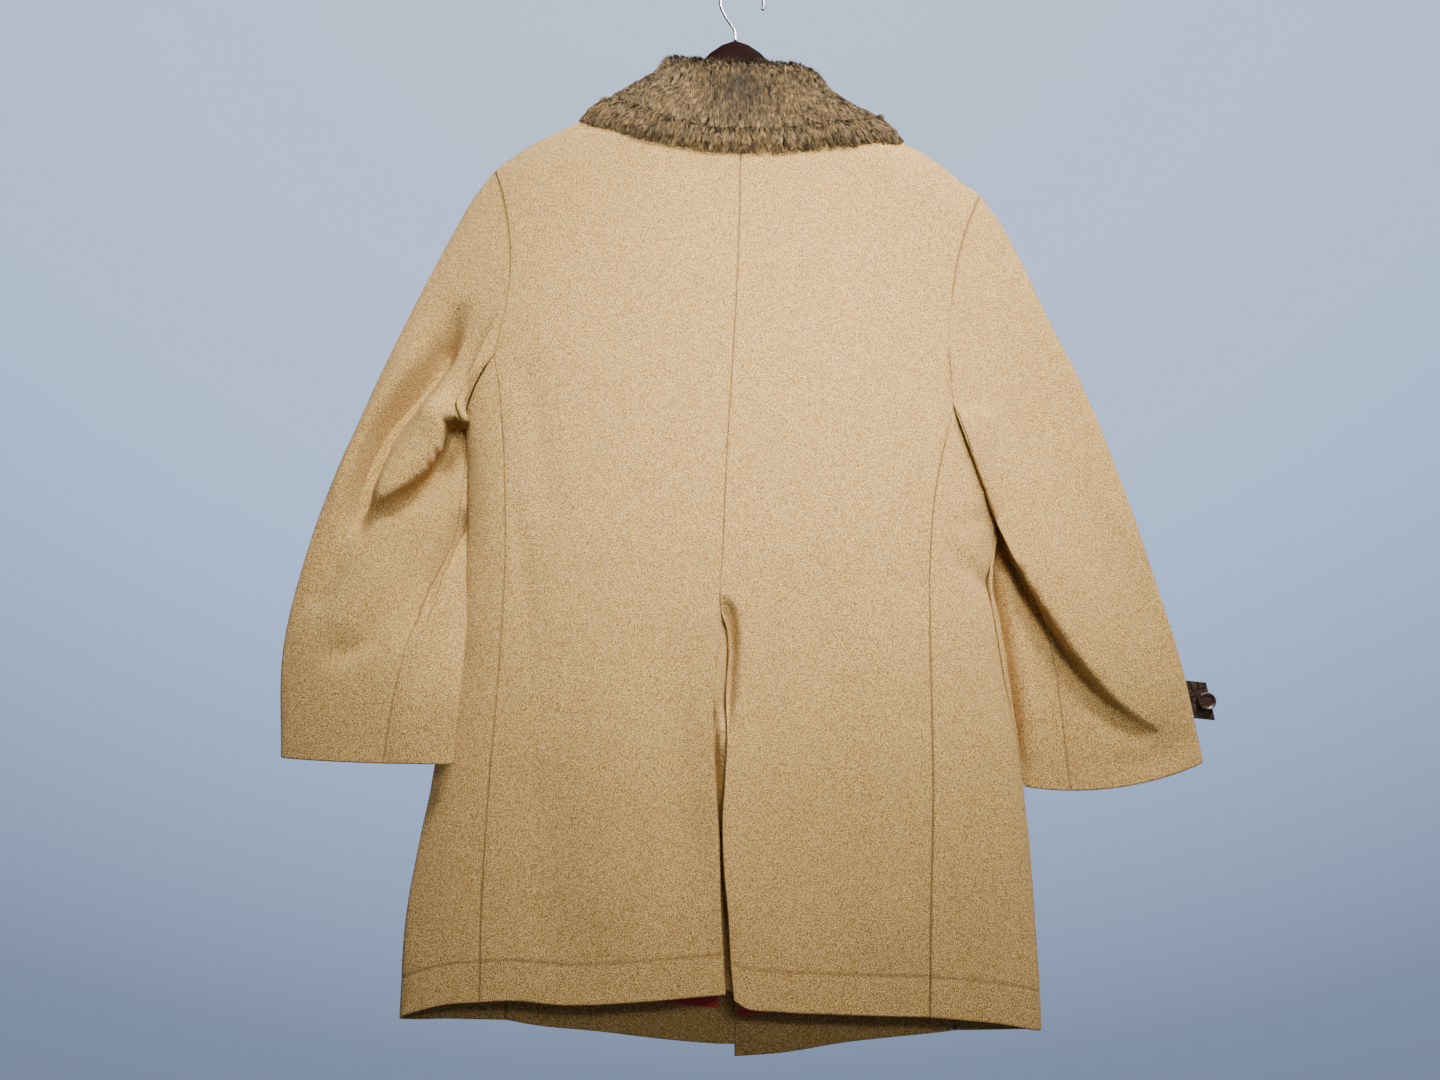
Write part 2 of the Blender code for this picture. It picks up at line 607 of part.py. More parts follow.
def sleeve(side, counts, rows):
    loops = armhole(side)
    ways = steps(rows, 0.0, 1.0)
    grid = []
    for way in ways:
        back, under, front = sleeve_angles(way, side, counts)
        grid.append([sleeve_point(side, angle, way, loops) for angle in back + under[1:] + front[1:-1]
                     + [0.0]])
    grid = np.array(grid)
    normals = grid_normals(grid, closed=True)
    centre = grid.mean(axis=1, keepdims=True)
    if np.sum(normals * (grid - centre)) < 0:
        normals = -normals
    normals = calm(normals, 3)
    back, under, front = sleeve_angles(ways[0], side, counts)
    for c, angle in enumerate(back + under[1:] + front[1:-1] + [0.0]):
        loop, share = (loops[0], angle / 180.0) if angle <= 180 else (loops[1], angle / 180.0 - 1.0)
        body = smooth(loop, share)[3:6]
        low = ease((min(angle, 360.0 - angle) - 80.0) / 40.0)
        mixed = body * (1.0 - low) + normals[0, c] * low
        normals[0, c] = mixed / np.linalg.norm(mixed)
    first, second = counts[0], counts[0] + counts[1]
    trimmed = grid.copy()
    for c, other in ((first, first + 1), (second, second - 1)):
        trimmed[:, c] += (grid[:, other] - grid[:, c]) * SLEEVE_GAP
    wall("under_sleeve_" + side, trimmed[:, first:second + 1], normals[:, first:second + 1], "wool")
    order = list(range(second, grid.shape[1] - 1)) + list(range(0, first + 1))
    upper = grid[:, order]
    upper[:, 0] += (upper[:, 1] - upper[:, 0]) * SLEEVE_GAP
    upper[:, -1] += (upper[:, -2] - upper[:, -1]) * SLEEVE_GAP
    wall("upper_sleeve_" + side, upper, normals[:, order], "wool")
    return loops


# ------------------------------------------------------------------ collar

def below_shoulder(x, z, facing):
    """Depth below the shoulder line: minus on the back, plus on the front, 0 on the line."""
    return (float(smooth(SHOULDER, x)[0]) - z) * facing


def collar_station(side, share):
    """Neck x and depth, edge x and depth, rise and upward direction at a station of the collar."""
    rows = []
    for i, row in enumerate(COLLAR[side]):
        neck_x, neck_z, edge_x, edge_z, rise, up_x, up_y, up_z, facing = row
        rows.append((i / (len(COLLAR[side]) - 1), neck_x, below_shoulder(neck_x, neck_z, facing),
                     edge_x, below_shoulder(edge_x, edge_z, facing), rise, up_x, up_y, up_z))
    return smooth(np.array(rows), share)


def surface_at(x, depth):
    """Point and direction on the body at a depth below the shoulder line, minus on the back."""
    z = float(smooth(SHOULDER, x)[0]) - abs(depth)
    back = depth < 0
    normal = body_normal(x, z, back)
    normal[1] *= ease(abs(depth) / 2.0)
    return np.array([x, body_y(x, z, back), z]), normal / np.linalg.norm(normal)


def collar_loops(side, share):
    """Cross-sections of the collar's two pieces at one station."""
    neck_x, neck_depth, edge_x, edge_depth, rise, up_x, up_y, up_z = collar_station(side, share)
    up = np.array([up_x, up_y, up_z])
    up /= np.linalg.norm(up)
    neck, neck_out = surface_at(neck_x, neck_depth)

    def above(part, out):
        return neck + up * (2.8 + (rise - 2.8) * part) + neck_out * out

    def fall(part, out):
        x = neck_x + (edge_x - neck_x) * part
        point, normal = surface_at(x, neck_depth + (edge_depth - neck_depth) * part)
        return point + normal * out

    thick = FUR * (1.0 - 0.35 * ease((share - 0.93) / 0.07))   # the tip of a front thins out
    inside = -2.2 if rise > 10 else -2.2 + 3.0 * ease((10.0 - rise) / 3.0)
    upper = [above(0.0, inside), above(0.5, inside - 0.8), above(0.88, inside + 1.5), above(1.0, 4.0),
             above(0.98, thick * 0.75), above(0.7, thick + 1.0), above(0.3, thick + 1.6),
             fall(0.06, thick + 1.2), fall(0.34, thick + 0.5)]
    seam = COLLAR_SEAM
    low = UNDER_FUR
    upper += [fall(seam - 0.007, thick), fall(seam - 0.007, low), fall(0.34, low), fall(0.03, low),
              above(0.0, low)]
    band = [fall(seam + 0.007, low), fall(seam + 0.007, thick), fall(0.82, thick - 0.5),
            fall(0.96, thick - 3.0), fall(1.0, thick * 0.5), fall(0.985, low + 1.0), fall(0.93, low),
            fall(0.8, low)]
    return upper, band


def collar():
    shares = [0.0]
    for i, count in enumerate(COLLAR_STEPS):
        shares += [(i + k / count) / len(COLLAR_STEPS) for k in range(1, count + 1)]
    stations = [collar_loops("left", share) for share in reversed(shares)]
    stations += [collar_loops("right", share) for share in shares[1:]]
    loft("collar", [upper for upper, band in stations], "fur")
    loft("collar_band", [band for upper, band in stations], "fur")


# ------------------------------------------------------------------ small pieces

def strip_behind(name, side, back, corners, depth, size, colour, thickness):
    """A flat piece inside the body's wall: corners are x, z of the top and bottom lines."""
    cols, rows = size
    top, bottom = by_length(corners[0]), by_length(corners[1])
    grid, normals = [], []
    for t in steps(rows, 0.0, 1.0):
        row, row_normals = [], []
        for s in steps(cols, 0.0, 1.0):
            x, z = (1 - t) * smooth(top, s) + t * smooth(bottom, s)
            normal = body_normal(x, z, back)
            y = body_y(x, z, back) - lap_depth(side, back, x, z)
            row.append(np.array([x, y, z]) - normal * depth)
            row_normals.append(normal)
        grid.append(row)
        normals.append(row_normals)
    wall(name, grid, normals, colour, thickness)


def button(name, centre, normal, radius, height):
    """A round button with a sunk middle."""
    normal = np.array(normal, dtype=float)
    normal /= np.linalg.norm(normal)
    side = np.cross(normal, (0.0, 0.0, 1.0))
    side /= np.linalg.norm(side)
    up = np.cross(side, normal)
    profile = ((0.86, 0.0), (1.0, 0.35), (0.97, 0.8), (0.85, 1.0), (0.66, 0.9), (0.58, 0.62))
    loops = []
    for reach, level in profile:
        loops.append([np.array(centre) + normal * height * level
                      + radius * reach * (side * math.cos(a) + up * math.sin(a))
                      for a in [2 * math.pi * i / 14 for i in range(14)]])
    loft(name, loops, "button")


def cuff_tab(side, loops, angles, ways, reach):
    """A strap that lies on the front of a sleeve near the cuff, with its button."""
    grid = []
    for way in steps(3, *ways):
        row = [sleeve_point(side, angle, way, loops) for angle in steps(5, *angles)]
        beyond = row[-1] + np.array([math.copysign(1.0, row[-1][0]), -0.12, -0.1]) * reach
        row += [row[-1] * (1 - t) + beyond * t for t in (0.35, 0.7, 1.0)] if reach else []
        grid.append(row)
    grid = np.array(grid)
    normals = grid_normals(grid)
    if normals[:, :, 1].mean() < 0:
        normals = -normals
    grid = grid + normals * (TAB_THICKNESS + 0.7)
    wall("cuff_tab_" + side, grid, normals, "leather", TAB_THICKNESS)
    col = grid.shape[1] - 2 if reach else 1
    middle = 0.5 * (grid[1, col] + grid[2, col])
    normal = normals[1, col] + normals[2, col]
    normal /= np.linalg.norm(normal)
    if reach:
        middle = 0.35 * middle + 0.325 * (grid[1, -1] + grid[2, -1]) - normal * (TAB_THICKNESS + 0.5)
        button("tab_button_" + side, middle - normal * 0.5, -normal, 8.5, 3.6)
    else:
        button("tab_button_" + side, middle + normal * 0.5, normal, 9.5, 4.0)


def hanger():
    loops = []
    for row in HANGER:
        x, top, height, half = row
        middle, reach = top - height / 2.0, height / 2.0
        loop = []
        for i in range(12):
            a = 2 * math.pi * i / 12
            c, s = math.cos(a), math.sin(a)
            loop.append((x, HANGER_Y + half * math.copysign(abs(c) ** 0.7, c),
                         middle + reach * math.copysign(abs(s) ** 0.8, s)))
        loops.append(loop)
    loft("hanger", loops, "wood")
    path = [np.array([x, 0.0, z + (0.95 if i == 0 else 0.0)]) for i, (x, z) in enumerate(HOOK_STEM)]
    start, end = HOOK_ARC
    for i in range(1, 25):
        a = math.radians(start + (end - start) * i / 24)
        path.append(np.array([HOOK_CENTRE[0] + HOOK_RADIUS * math.cos(a), 0.0,
                              HOOK_CENTRE[1] + HOOK_RADIUS * math.sin(a)]))
    path = [p + np.array([0.0, HANGER_Y * max(0.0, 1.0 - i / 6.0), 0.0]) for i, p in enumerate(path)]
    loops = []
    for i, point in enumerate(path):
        ahead = path[min(i + 1, len(path) - 1)] - path[max(i - 1, 0)]
        ahead /= np.linalg.norm(ahead)
        out = np.array([0.0, 1.0, 0.0])
        across = np.cross(ahead, out)
        loops.append([point + WIRE * (out * math.cos(a) + across * math.sin(a))
                      for a in [2 * math.pi * k / 10 for k in range(10)]])
    loft("hanger_hook", loops, "steel")


def build():
    for old in list(bpy.data.objects):
        bpy.data.objects.remove(old)
    for side in ("left", "right"):
        panel("back_" + side, side, True, 10, 25)
        panel("front_" + side, side, False, 8, 22)
        side_piece("side_" + side, side, 9, 14)
        loops = sleeve(side, (7, 8, 8), 18)
        if side == "left":
            cuff_tab(side, loops, (296.0, 252.0), (0.90, 0.955), 0.0)
        else:
            cuff_tab(side, loops, (258.0, 322.0), (0.858, 0.918), 41.0)
    strip_behind("vent_underlap", "left", True, ([(-50, -628), (12, -628)], [(-44, -968), (16, -974)]),
                 CLOTH + 0.4, (4, 10), "wool", CLOTH)
    strip_behind("lining_left", "left", False, ([(-212, -930), (-120, -935), (-24, -940)],
                                                [(-214, -974), (-120, -988), (-24, -998)]),
                 CLOTH + 0.4, (10, 3), "lining", LINING)
    strip_behind("lining_right", "right", False, ([(-6, -944), (90, -938), (180, -932)],
                                                  [(-6, -1004), (90, -994), (184, -982)]),
                 CLOTH + 0.4, (10, 3), "lining", LINING)
    collar()
    for number, z in enumerate(FRONT_BUTTONS_Z, start=1):
        y = body_y(FRONT_BUTTON_X, z, False)
        normal = body_normal(FRONT_BUTTON_X, z, False)
        button("front_button_%d" % number, np.array([FRONT_BUTTON_X, y, z]) + normal * 0.4, normal, 14.0, 4.5)
    hanger()


build()
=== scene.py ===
"""Looks of a camel wool coat with a fur collar on its wooden hanger, seen from the back.

Lengths are millimetres until a mesh is made. x runs to the photo's right, y away from the camera
and z up. The origin is the inside top of the hook, and the coat's back faces -y.
"""

import math

import bpy
import numpy as np
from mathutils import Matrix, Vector
from mathutils.kdtree import KDTree


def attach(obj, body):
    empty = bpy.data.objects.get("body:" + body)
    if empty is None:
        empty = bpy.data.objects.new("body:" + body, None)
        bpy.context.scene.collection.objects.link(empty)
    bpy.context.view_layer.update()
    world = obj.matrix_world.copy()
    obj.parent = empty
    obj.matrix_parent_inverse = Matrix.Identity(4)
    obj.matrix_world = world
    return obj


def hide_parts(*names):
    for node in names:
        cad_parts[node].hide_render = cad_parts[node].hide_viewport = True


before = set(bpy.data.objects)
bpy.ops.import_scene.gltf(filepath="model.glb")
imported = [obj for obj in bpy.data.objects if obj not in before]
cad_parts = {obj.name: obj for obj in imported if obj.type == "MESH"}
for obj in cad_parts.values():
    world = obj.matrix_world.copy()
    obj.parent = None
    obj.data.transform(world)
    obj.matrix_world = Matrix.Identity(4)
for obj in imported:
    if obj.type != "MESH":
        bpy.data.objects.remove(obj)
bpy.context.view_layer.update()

MM = 0.001
CLOTH = 2.0          # thickness of the cloth
LINING = 1.0         # thickness of the lining
SEAM = 0.03          # each piece stops this far short of a seam
LAP = 0.6            # room between two layers that lie on each other
SQUARENESS = 2.6     # how square the body's flat ring is
GRID = 4.4           # spacing of the cloth's points
SLEEVE_STEP = 3.3    # the same on the sleeves, whose folds are sharper
FINE = 0.8           # spacing of its points beside seams and edges
ROLL = 2.2           # width of the rounding beside a seam
ROLL_DEPTH = 0.75    # how far the cloth sinks into a seam
ARMHOLE_ROLL = (4.5, 2.0)    # the same for the sleeve's side of an armhole
EDGE_ROUND = (0.8, 0.47)     # width and depth of a free edge's rounding, as shares of the thickness
HEM_DEPTH = 35.0
HEM_LINE = (0.45, 1.6)    # depth and half width of the line that the turned-up hem prints
PANEL_HEIGHT = 860.0      # rough sizes, used only to place the points
BACK_WIDTH = 260.0
FRONT_WIDTH = 200.0
SIDE_WIDTH = 110.0
SIDE_HEIGHT = 590.0
SLEEVE_LENGTH = 600.0
SLEEVE_BACK = 190.0
SLEEVE_UNDER = 170.0
SLEEVE_FRONT = 150.0
ROWS_UPWARD = 1.12        # power that draws a panel's rows towards the shoulder
SIDE_INSET = 0.0003       # share by which a side piece stops short of its seams
SIDE_TOP_INSET = 0.0004   # the same at its top
SLEEVE_TILT = 12.0        # degrees by which the thread of a sleeve runs off the vertical
SIDES = ("left", "right")

# ---- the body: height z, left edge x, right edge x, back depth, front depth, y of the side edges
BODY = [
    (-60, -275, 262, 44, 20, 3),
    (-150, -275, 261, 46, 20, 4),
    (-250, -274, 260, 49, 18, 6),
    (-350, -272, 256, 51, 15, 7),
    (-448, -268, 252, 52, 14, 8),
    (-525, -266, 247, 52, 14, 8),
    (-580, -265, 238, 52, 14, 8),
    (-608, -267, 236, 51, 14, 8),
    (-641, -270, 242, 51, 14, 8),
    (-692, -275, 249, 50, 14, 9),
    (-771, -288, 258, 47, 14, 9),
    (-844, -302, 265, 43, 14, 10),
    (-916, -312, 268, 40, 14, 10),
    (-980, -314, 270, 38, 14, 10),
    (-1050, -315, 270, 37, 14, 10),
]

# ---- the shoulder line from the left shoulder point to the right one: x, z
SHOULDER = [
    (-260, -207), (-244, -198), (-221, -181), (-201, -169), (-181, -159), (-154, -147), (-125, -133),
    (-99, -119), (-79, -108), (-40, -92), (0, -86), (40, -98), (78, -126), (97, -139), (127, -153),
    (151, -168), (176, -181), (196, -195), (215, -211), (233, -223), (250, -236),
]
BACK_ROUNDING = 70.0
FRONT_ROUNDING = 40.0

# ---- seams and edges that bound the panels: x, z from the top down
NECK = {
    "left": [(-2, -140), (-28, -138), (-52, -129), (-69, -116), (-79, -108)],
    "right": [(-2, -140), (28, -141), (52, -137), (69, -131), (78, -126)],
}
SHOULDER_RUN = {"left": SHOULDER[7:0:-1], "right": SHOULDER[13:20]}
BACK_ARMHOLE = {
    "left": [(-244, -198), (-232, -231), (-227, -253), (-223, -280), (-222, -304), (-224, -333),
             (-229, -362), (-233, -378), (-236, -391)],
    "right": [(233, -223), (218, -256), (206, -290), (198, -332), (194, -377), (194, -407),
              (195.4, -428), (197, -442)],
}
FRONT_ARMHOLE = {
    "left": [(-244, -198), (-230, -231), (-222, -260), (-215, -295), (-211, -335), (-210.3, -362),
             (-211, -385)],
    "right": [(233, -223), (216, -256), (203, -292), (193, -335), (187, -380), (185.6, -405),
              (186, -422)],
}
BACK_SEAM = {
    "left": [(-236, -391), (-231, -421), (-227, -457), (-224, -493), (-221, -587), (-225, -696),
             (-232, -803), (-236, -891), (-236, -981)],
    "right": [(197, -442), (186, -481), (177, -523), (171, -578), (169, -643), (169, -715),
              (169, -803), (166, -890), (163, -993)],
}
FRONT_SEAM = {
    "left": [(-211, -385), (-210.5, -398), (-209, -418), (-206, -455), (-203, -550), (-204, -650),
             (-212, -800), (-220, -1008)],
    "right": [(186, -422), (185.4, -435), (184.2, -455), (182, -485), (178, -560), (178, -660),
              (186, -800), (194, -1017)],
}
CENTRE_SEAM = [(-2, -140), (-3, -210), (-5, -294), (-10, -391), (-16, -486), (-20, -579), (-22.4, -620)]
CENTRE_BACK = {
    "left": CENTRE_SEAM + [
        (-23, -635), (-23.2, -664), (-26, -695), (-28, -736), (-26, -785), (-23, -832), (-21, -904),
        (-19, -940), (-17, -972)],
    "right": CENTRE_SEAM + [
        (-21, -635), (-16, -651), (-14.5, -670), (-17, -708), (-16, -745), (-18, -785), (-20, -815),
        (-19, -860), (-15, -905), (-13, -945), (-10, -976)],
}
FRONT_EDGE = {
    "left": [(-79, -108), (-62, -170), (-38, -245), (-8, -320), (16, -370), (40, -428), (41, -560),
             (41, -750), (40, -1027)],
    "right": [(78, -126), (70, -185), (50, -255), (28, -330), (8, -385), (-8, -430), (-9, -560),
              (-9, -750), (-9, -1040)],
}
# ---- how the edges of the vent stand off: top z, width and height of the lifted strip
VENT_LIFT = {"left": (-660, 16.0, 2.0), "right": (-680, 24.0, 5.0)}
# ---- the right panel's edge rolls in at the top of the vent, and the underlap behind it sinks
VENT_ROLL = [(16.0, 4.8, [(-20, -624), (-13, -640), (-11, -668), (-13, -700), (-16, -740)])]
VENT_ROLL_TOP = (-612.0, 24.0)    # z at which that roll starts, and the length over which it grows
UNDERLAP_SINK = [(17.0, 9.0, [(-14, -628), (-11, -668), (-13, -700), (-16, -740)]),
                 (24.0, 4.8, [(-40, -700), (-31, -735), (-28, -770), (-25, -800), (-22, -840),
                              (-20, -890), (-16, -972)])]
BACK_HEM = {
    "left": [(-17, -972), (-95, -979), (-161, -982), (-206, -979), (-236, -981)],
    "right": [(-10, -976), (0, -983), (30, -987), (92, -990), (163, -993)],
}
FRONT_HEM = {
    "left": [(40, -1027), (-14, -1030), (-72, -1026), (-133, -1019), (-193, -1013), (-220, -1008)],
    "right": [(-9, -1040), (33, -1037), (88, -1029), (143, -1023), (180, -1019), (194, -1017)],
}
# ---- top and bottom of a side piece: share of the way from back seam to front seam, top z, hem z
SIDE_ENDS = {
    "left": [
        (0.0, -391, -981), (0.1, -407, -984), (0.2, -423, -990), (0.3, -438, -996),
        (0.4, -450, -1001), (0.5, -455, -1004), (0.6, -452, -1005), (0.7, -443, -1006),
        (0.8, -428, -1006), (0.9, -408, -1007), (1.0, -385, -1008)],
    "right": [
        (0.0, -442, -993), (0.1, -453, -997), (0.2, -464, -1001), (0.3, -474, -1006),
        (0.4, -482, -1010), (0.5, -486, -1012), (0.6, -483, -1013), (0.7, -475, -1014),
        (0.8, -461, -1015), (0.9, -443, -1016), (1.0, -422, -1017)],
}

# ---- the sleeves: way down the arm, outer x, outer z, inner x, inner z, outer y, inner y,
#      half thickness, angle of the back seam
SLEEVE = {
    "left": [
        (0.00, -244, -198, -269, -455, 0, 8, 16, 106),
        (0.07, -265, -229, -269, -466, -2, 10, 17, 112),
        (0.15, -287, -272, -262, -480, -4, 14, 17, 122),
        (0.25, -313, -327, -256, -503, -6, 16, 17, 128),
        (0.40, -350, -412, -253, -548, -9, 15, 16, 130),
        (0.48, -367, -455, -254, -575, -10, 13, 15.5, 128),
        (0.55, -382, -492, -254, -594, -11, 9, 15, 125),
        (0.70, -409, -577, -257, -640, -13, -10, 14, 118),
        (0.85, -427, -670, -257, -706, -14, -33, 13, 110),
        (1.00, -424, -767, -261, -771, -15, -34, 12, 103)],
    "right": [
        (0.00, 233, -223, 252, -488, 0, 8, 16, 131),
        (0.07, 251, -250, 253, -498, -1, 11, 17, 129),
        (0.15, 270, -288, 251, -512, -2, 14, 17, 127),
        (0.25, 293, -343, 247, -532, -3, 18, 17, 126),
        (0.40, 328, -420, 237, -574, -4, 23, 17, 124),
        (0.55, 358, -505, 232, -618, -5, 24, 16, 116),
        (0.70, 384, -592, 238, -668, -5, 24, 15, 109),
        (0.85, 409, -684, 249, -732, -4, 23, 14, 114),
        (1.00, 425, -772, 265, -797, -3, 20, 12, 121)],
}
SLEEVE_MERGE = 0.34       # way down the arm over which the armhole's shape fades out
PIT_MERGE = (0.015, 0.07, 0.06)   # the same near the pit, in x, y and z: first out, then down
RING_SAG = 1.2            # how far the rings near the shoulder hang below straight lines
STAND_OFF = 4.0           # how far the cloth below the armhole stands off the body
CUFF_SAG = {"left": 1.0, "right": 11.0}    # how far the middle of the cuff hangs below its ends
SLEEVE_GAP = 0.03         # how far each sleeve piece stops short of its seam
FRONT_SLEEVE_SEAM = 252   # angle of the hidden seam of the sleeves

# ---- folds of the sleeves whose edges hang over: which side of the line stands out, how far that
#      side and the sunk one reach, share of the height that stands out, then x, z, height, softness
EDGE_FOLDS = {
    "left": [
        (-1, 34, 44, 0.40, [
            (-256, -454, 30, 3), (-268, -450, 34, 3), (-280, -448, 36, 3), (-287, -451, 37, 3),
            (-288, -461, 37, 3), (-291, -474, 37, 3.5), (-298, -487, 36, 4), (-306, -499, 34, 4.5),
            (-318, -511, 30, 5), (-331, -522, 24, 6), (-343, -533, 16, 8), (-353, -544, 8, 11),
            (-363, -557, 0, 15)]),
        (1, 22, 32, 0.36, [
            (-258, -560, 28, 4), (-264, -582, 34, 4), (-271, -604, 33, 4), (-279, -626, 26, 5),
            (-289, -648, 17, 7), (-303, -665, 8, 10), (-317, -674, 0, 13)]),
    ],
    "right": [
        (1, 80, 34, 0.56, [
            (197, -442, 8, 3), (206, -462, 14, 3), (215, -481, 19, 3), (225, -501, 24, 3),
            (236, -523, 29, 3), (248, -547, 34, 3), (260, -573, 37, 3), (276, -604, 38, 4),
            (293, -634, 36, 5), (310, -664, 33, 5), (326, -688, 28, 6), (343, -711, 22, 7),
            (360, -728, 16, 8), (376, -740, 9, 9), (388, -748, 0, 12)]),
    ],
}
# ---- how far a fold's edge hangs over the sunk side, as a share of its height
FOLD_OVERHANG = {"left": 0.36, "right": 0.42}
TUCKED = 0.45             # way down the arm above which the right fold's edge is the sleeve's seam
# ---- the right sleeve hangs over the side of the body: way down the arm, x and z of its seam
POUCH = [
    (0.000, 197, -442), (0.030, 203, -456), (0.070, 210, -471), (0.120, 219, -489),
    (0.180, 228, -507), (0.250, 238, -527), (0.330, 248, -547), (0.400, 256, -564),
    (0.470, 266, -583), (0.540, 277, -604)]
POUCH_SPAN = (75.0, 38.0)  # degrees above and below the seam over which it is drawn along
OVER_BODY = (6.5, 1.2)    # room between the body and the sleeve's outside, above and below the seam

# ---- soft folds: strength (minus comes out of the cloth), width, x and z along the fold
SLEEVE_FOLDS = {
    "left": [
        (32, 11, [(-274, -350), (-283, -375), (-290, -390), (-302, -409), (-316, -429), (-329, -448),
                  (-341, -467), (-351, -491), (-359, -515), (-364, -538), (-362, -556)]),
        (-8, 14, [(-284, -426), (-300, -452), (-318, -480), (-338, -514), (-350, -534)]),
        (-7, 15, [(-300, -372), (-326, -412), (-348, -452), (-368, -500), (-384, -540)]),
        (6, 11, [(-303, -586), (-313, -614), (-326, -637), (-343, -660), (-361, -671), (-384, -676)]),
        (-3.5, 13, [(-330, -580), (-352, -622), (-378, -650)]),
        (6, 11, [(-362, -540), (-370, -558), (-380, -586), (-389, -614), (-404, -634)]),
        (-1.6, 12, [(-300, -716), (-306, -748), (-308, -770)]),
    ],
    "right": [
        (20, 5.5, [(240, -536), (237, -570), (234, -598), (237, -622), (243, -659), (251, -715),
                   (256, -761), (261, -800)]),
        (-5, 9, [(254, -560), (252, -600), (254, -622), (260, -659), (268, -715), (274, -770)]),
        (2.2, 14, [(300, -400), (322, -452), (340, -498), (352, -540)]),
        (1.6, 11, [(356, -560), (372, -612), (384, -656)]),
        (2.6, 13, [(414, -742), (396, -762), (368, -774), (334, -776)]),
        (-1.5, 12, [(262, -300), (284, -352), (300, -396)]),
    ],
}
HIDDEN_SLEEVE_FOLDS = {
    "left": [
        (8, 16, [(-262, -470), (-296, -510), (-338, -540)]),
        (10, 20, [(-257, -480), (-257, -530), (-260, -580)]),
        (4, 14, [(-268, -540), (-310, -572), (-350, -590)]),
        (2.5, 15, [(-300, -640), (-346, -668), (-396, -678)]),
        (-2, 14, [(-292, -380), (-322, -440), (-340, -486)]),
    ],
    "right": [
        (5, 17, [(250, -512), (286, -560), (332, -590)]),
        (4, 13, [(250, -590), (296, -626), (340, -642)]),
        (2.5, 16, [(282, -690), (330, -722), (384, -736)]),
        (-2, 14, [(276, -380), (306, -446), (322, -500)]),
    ],
}
# ---- creases of the body's back and front, in the same columns; plus goes into the cloth
BACK_CREASES = [
    (1.6, 16, [(168, -300), (172, -380), (176, -470), (176, -560)]),
    (1.3, 22, [(96, -170), (104, -260), (108, -360)]),
    (1.2, 24, [(-118, -180), (-130, -300), (-136, -420)]),
    (3.0, 14, [(-212, -398), (-196, -446), (-186, -500), (-182, -560)]),
    (2.6, 12, [(-226, -520), (-200, -600), (-196, -680)]),
    (4.0, 24, [(-60, -640), (-66, -760), (-58, -900)]),
    (-3.6, 30, [(-118, -680), (-128, -800), (-130, -930)]),
    (3.4, 24, [(-186, -760), (-182, -850), (-176, -940)]),
    (3.4, 24, [(70, -600), (74, -760), (64, -930)]),
    (-3.2, 30, [(122, -640), (128, -800), (126, -960)]),
    (2.6, 16, [(150, -700), (144, -800), (140, -900)]),
    (2.4, 14, [(-62, -720), (-50, -780), (-44, -860)]),
    (2.2, 14, [(18, -600), (22, -680), (16, -780)]),
]
FRONT_CREASES = [
    (1.8, 20, [(-150, -230), (-140, -330), (-132, -430)]),
    (2.0, 16, [(-196, -400), (-170, -450), (-150, -520)]),
    (1.8, 24, [(-96, -560), (-104, -720), (-110, -900)]),
    (-1.6, 26, [(-158, -640), (-166, -800), (-170, -960)]),
    (1.8, 18, [(150, -240), (136, -340), (128, -440)]),
    (2.0, 16, [(172, -440), (150, -500), (138, -570)]),
    (1.8, 24, [(92, -580), (100, -740), (104, -920)]),
    (-1.6, 26, [(140, -660), (150, -820), (152, -980)]),
    (1.5, 12, [(24, -455), (-20, -478), (-60, -486)]),
    (1.2, 12, [(24, -562), (-24, -584), (-66, -590)]),
]
SIDE_CREASES = [
    (2.4, 12, [(-262, -470), (-258, -540), (-250, -600)]),
    (2.0, 12, [(-262, -600), (-266, -650), (-250, -700)]),
    (1.6, 14, [(-290, -780), (-294, -860), (-292, -950)]),
    (2.2, 11, [(238, -520), (228, -580), (232, -640)]),
    (4.0, 9, [(186, -570), (200, -588), (222, -602), (240, -610)]),
    (2.6, 8, [(196, -556), (214, -551), (236, -540)]),
    (1.8, 12, [(234, -590), (246, -640), (240, -720)]),
    (1.6, 14, [(250, -790), (252, -880), (250, -960)]),
]

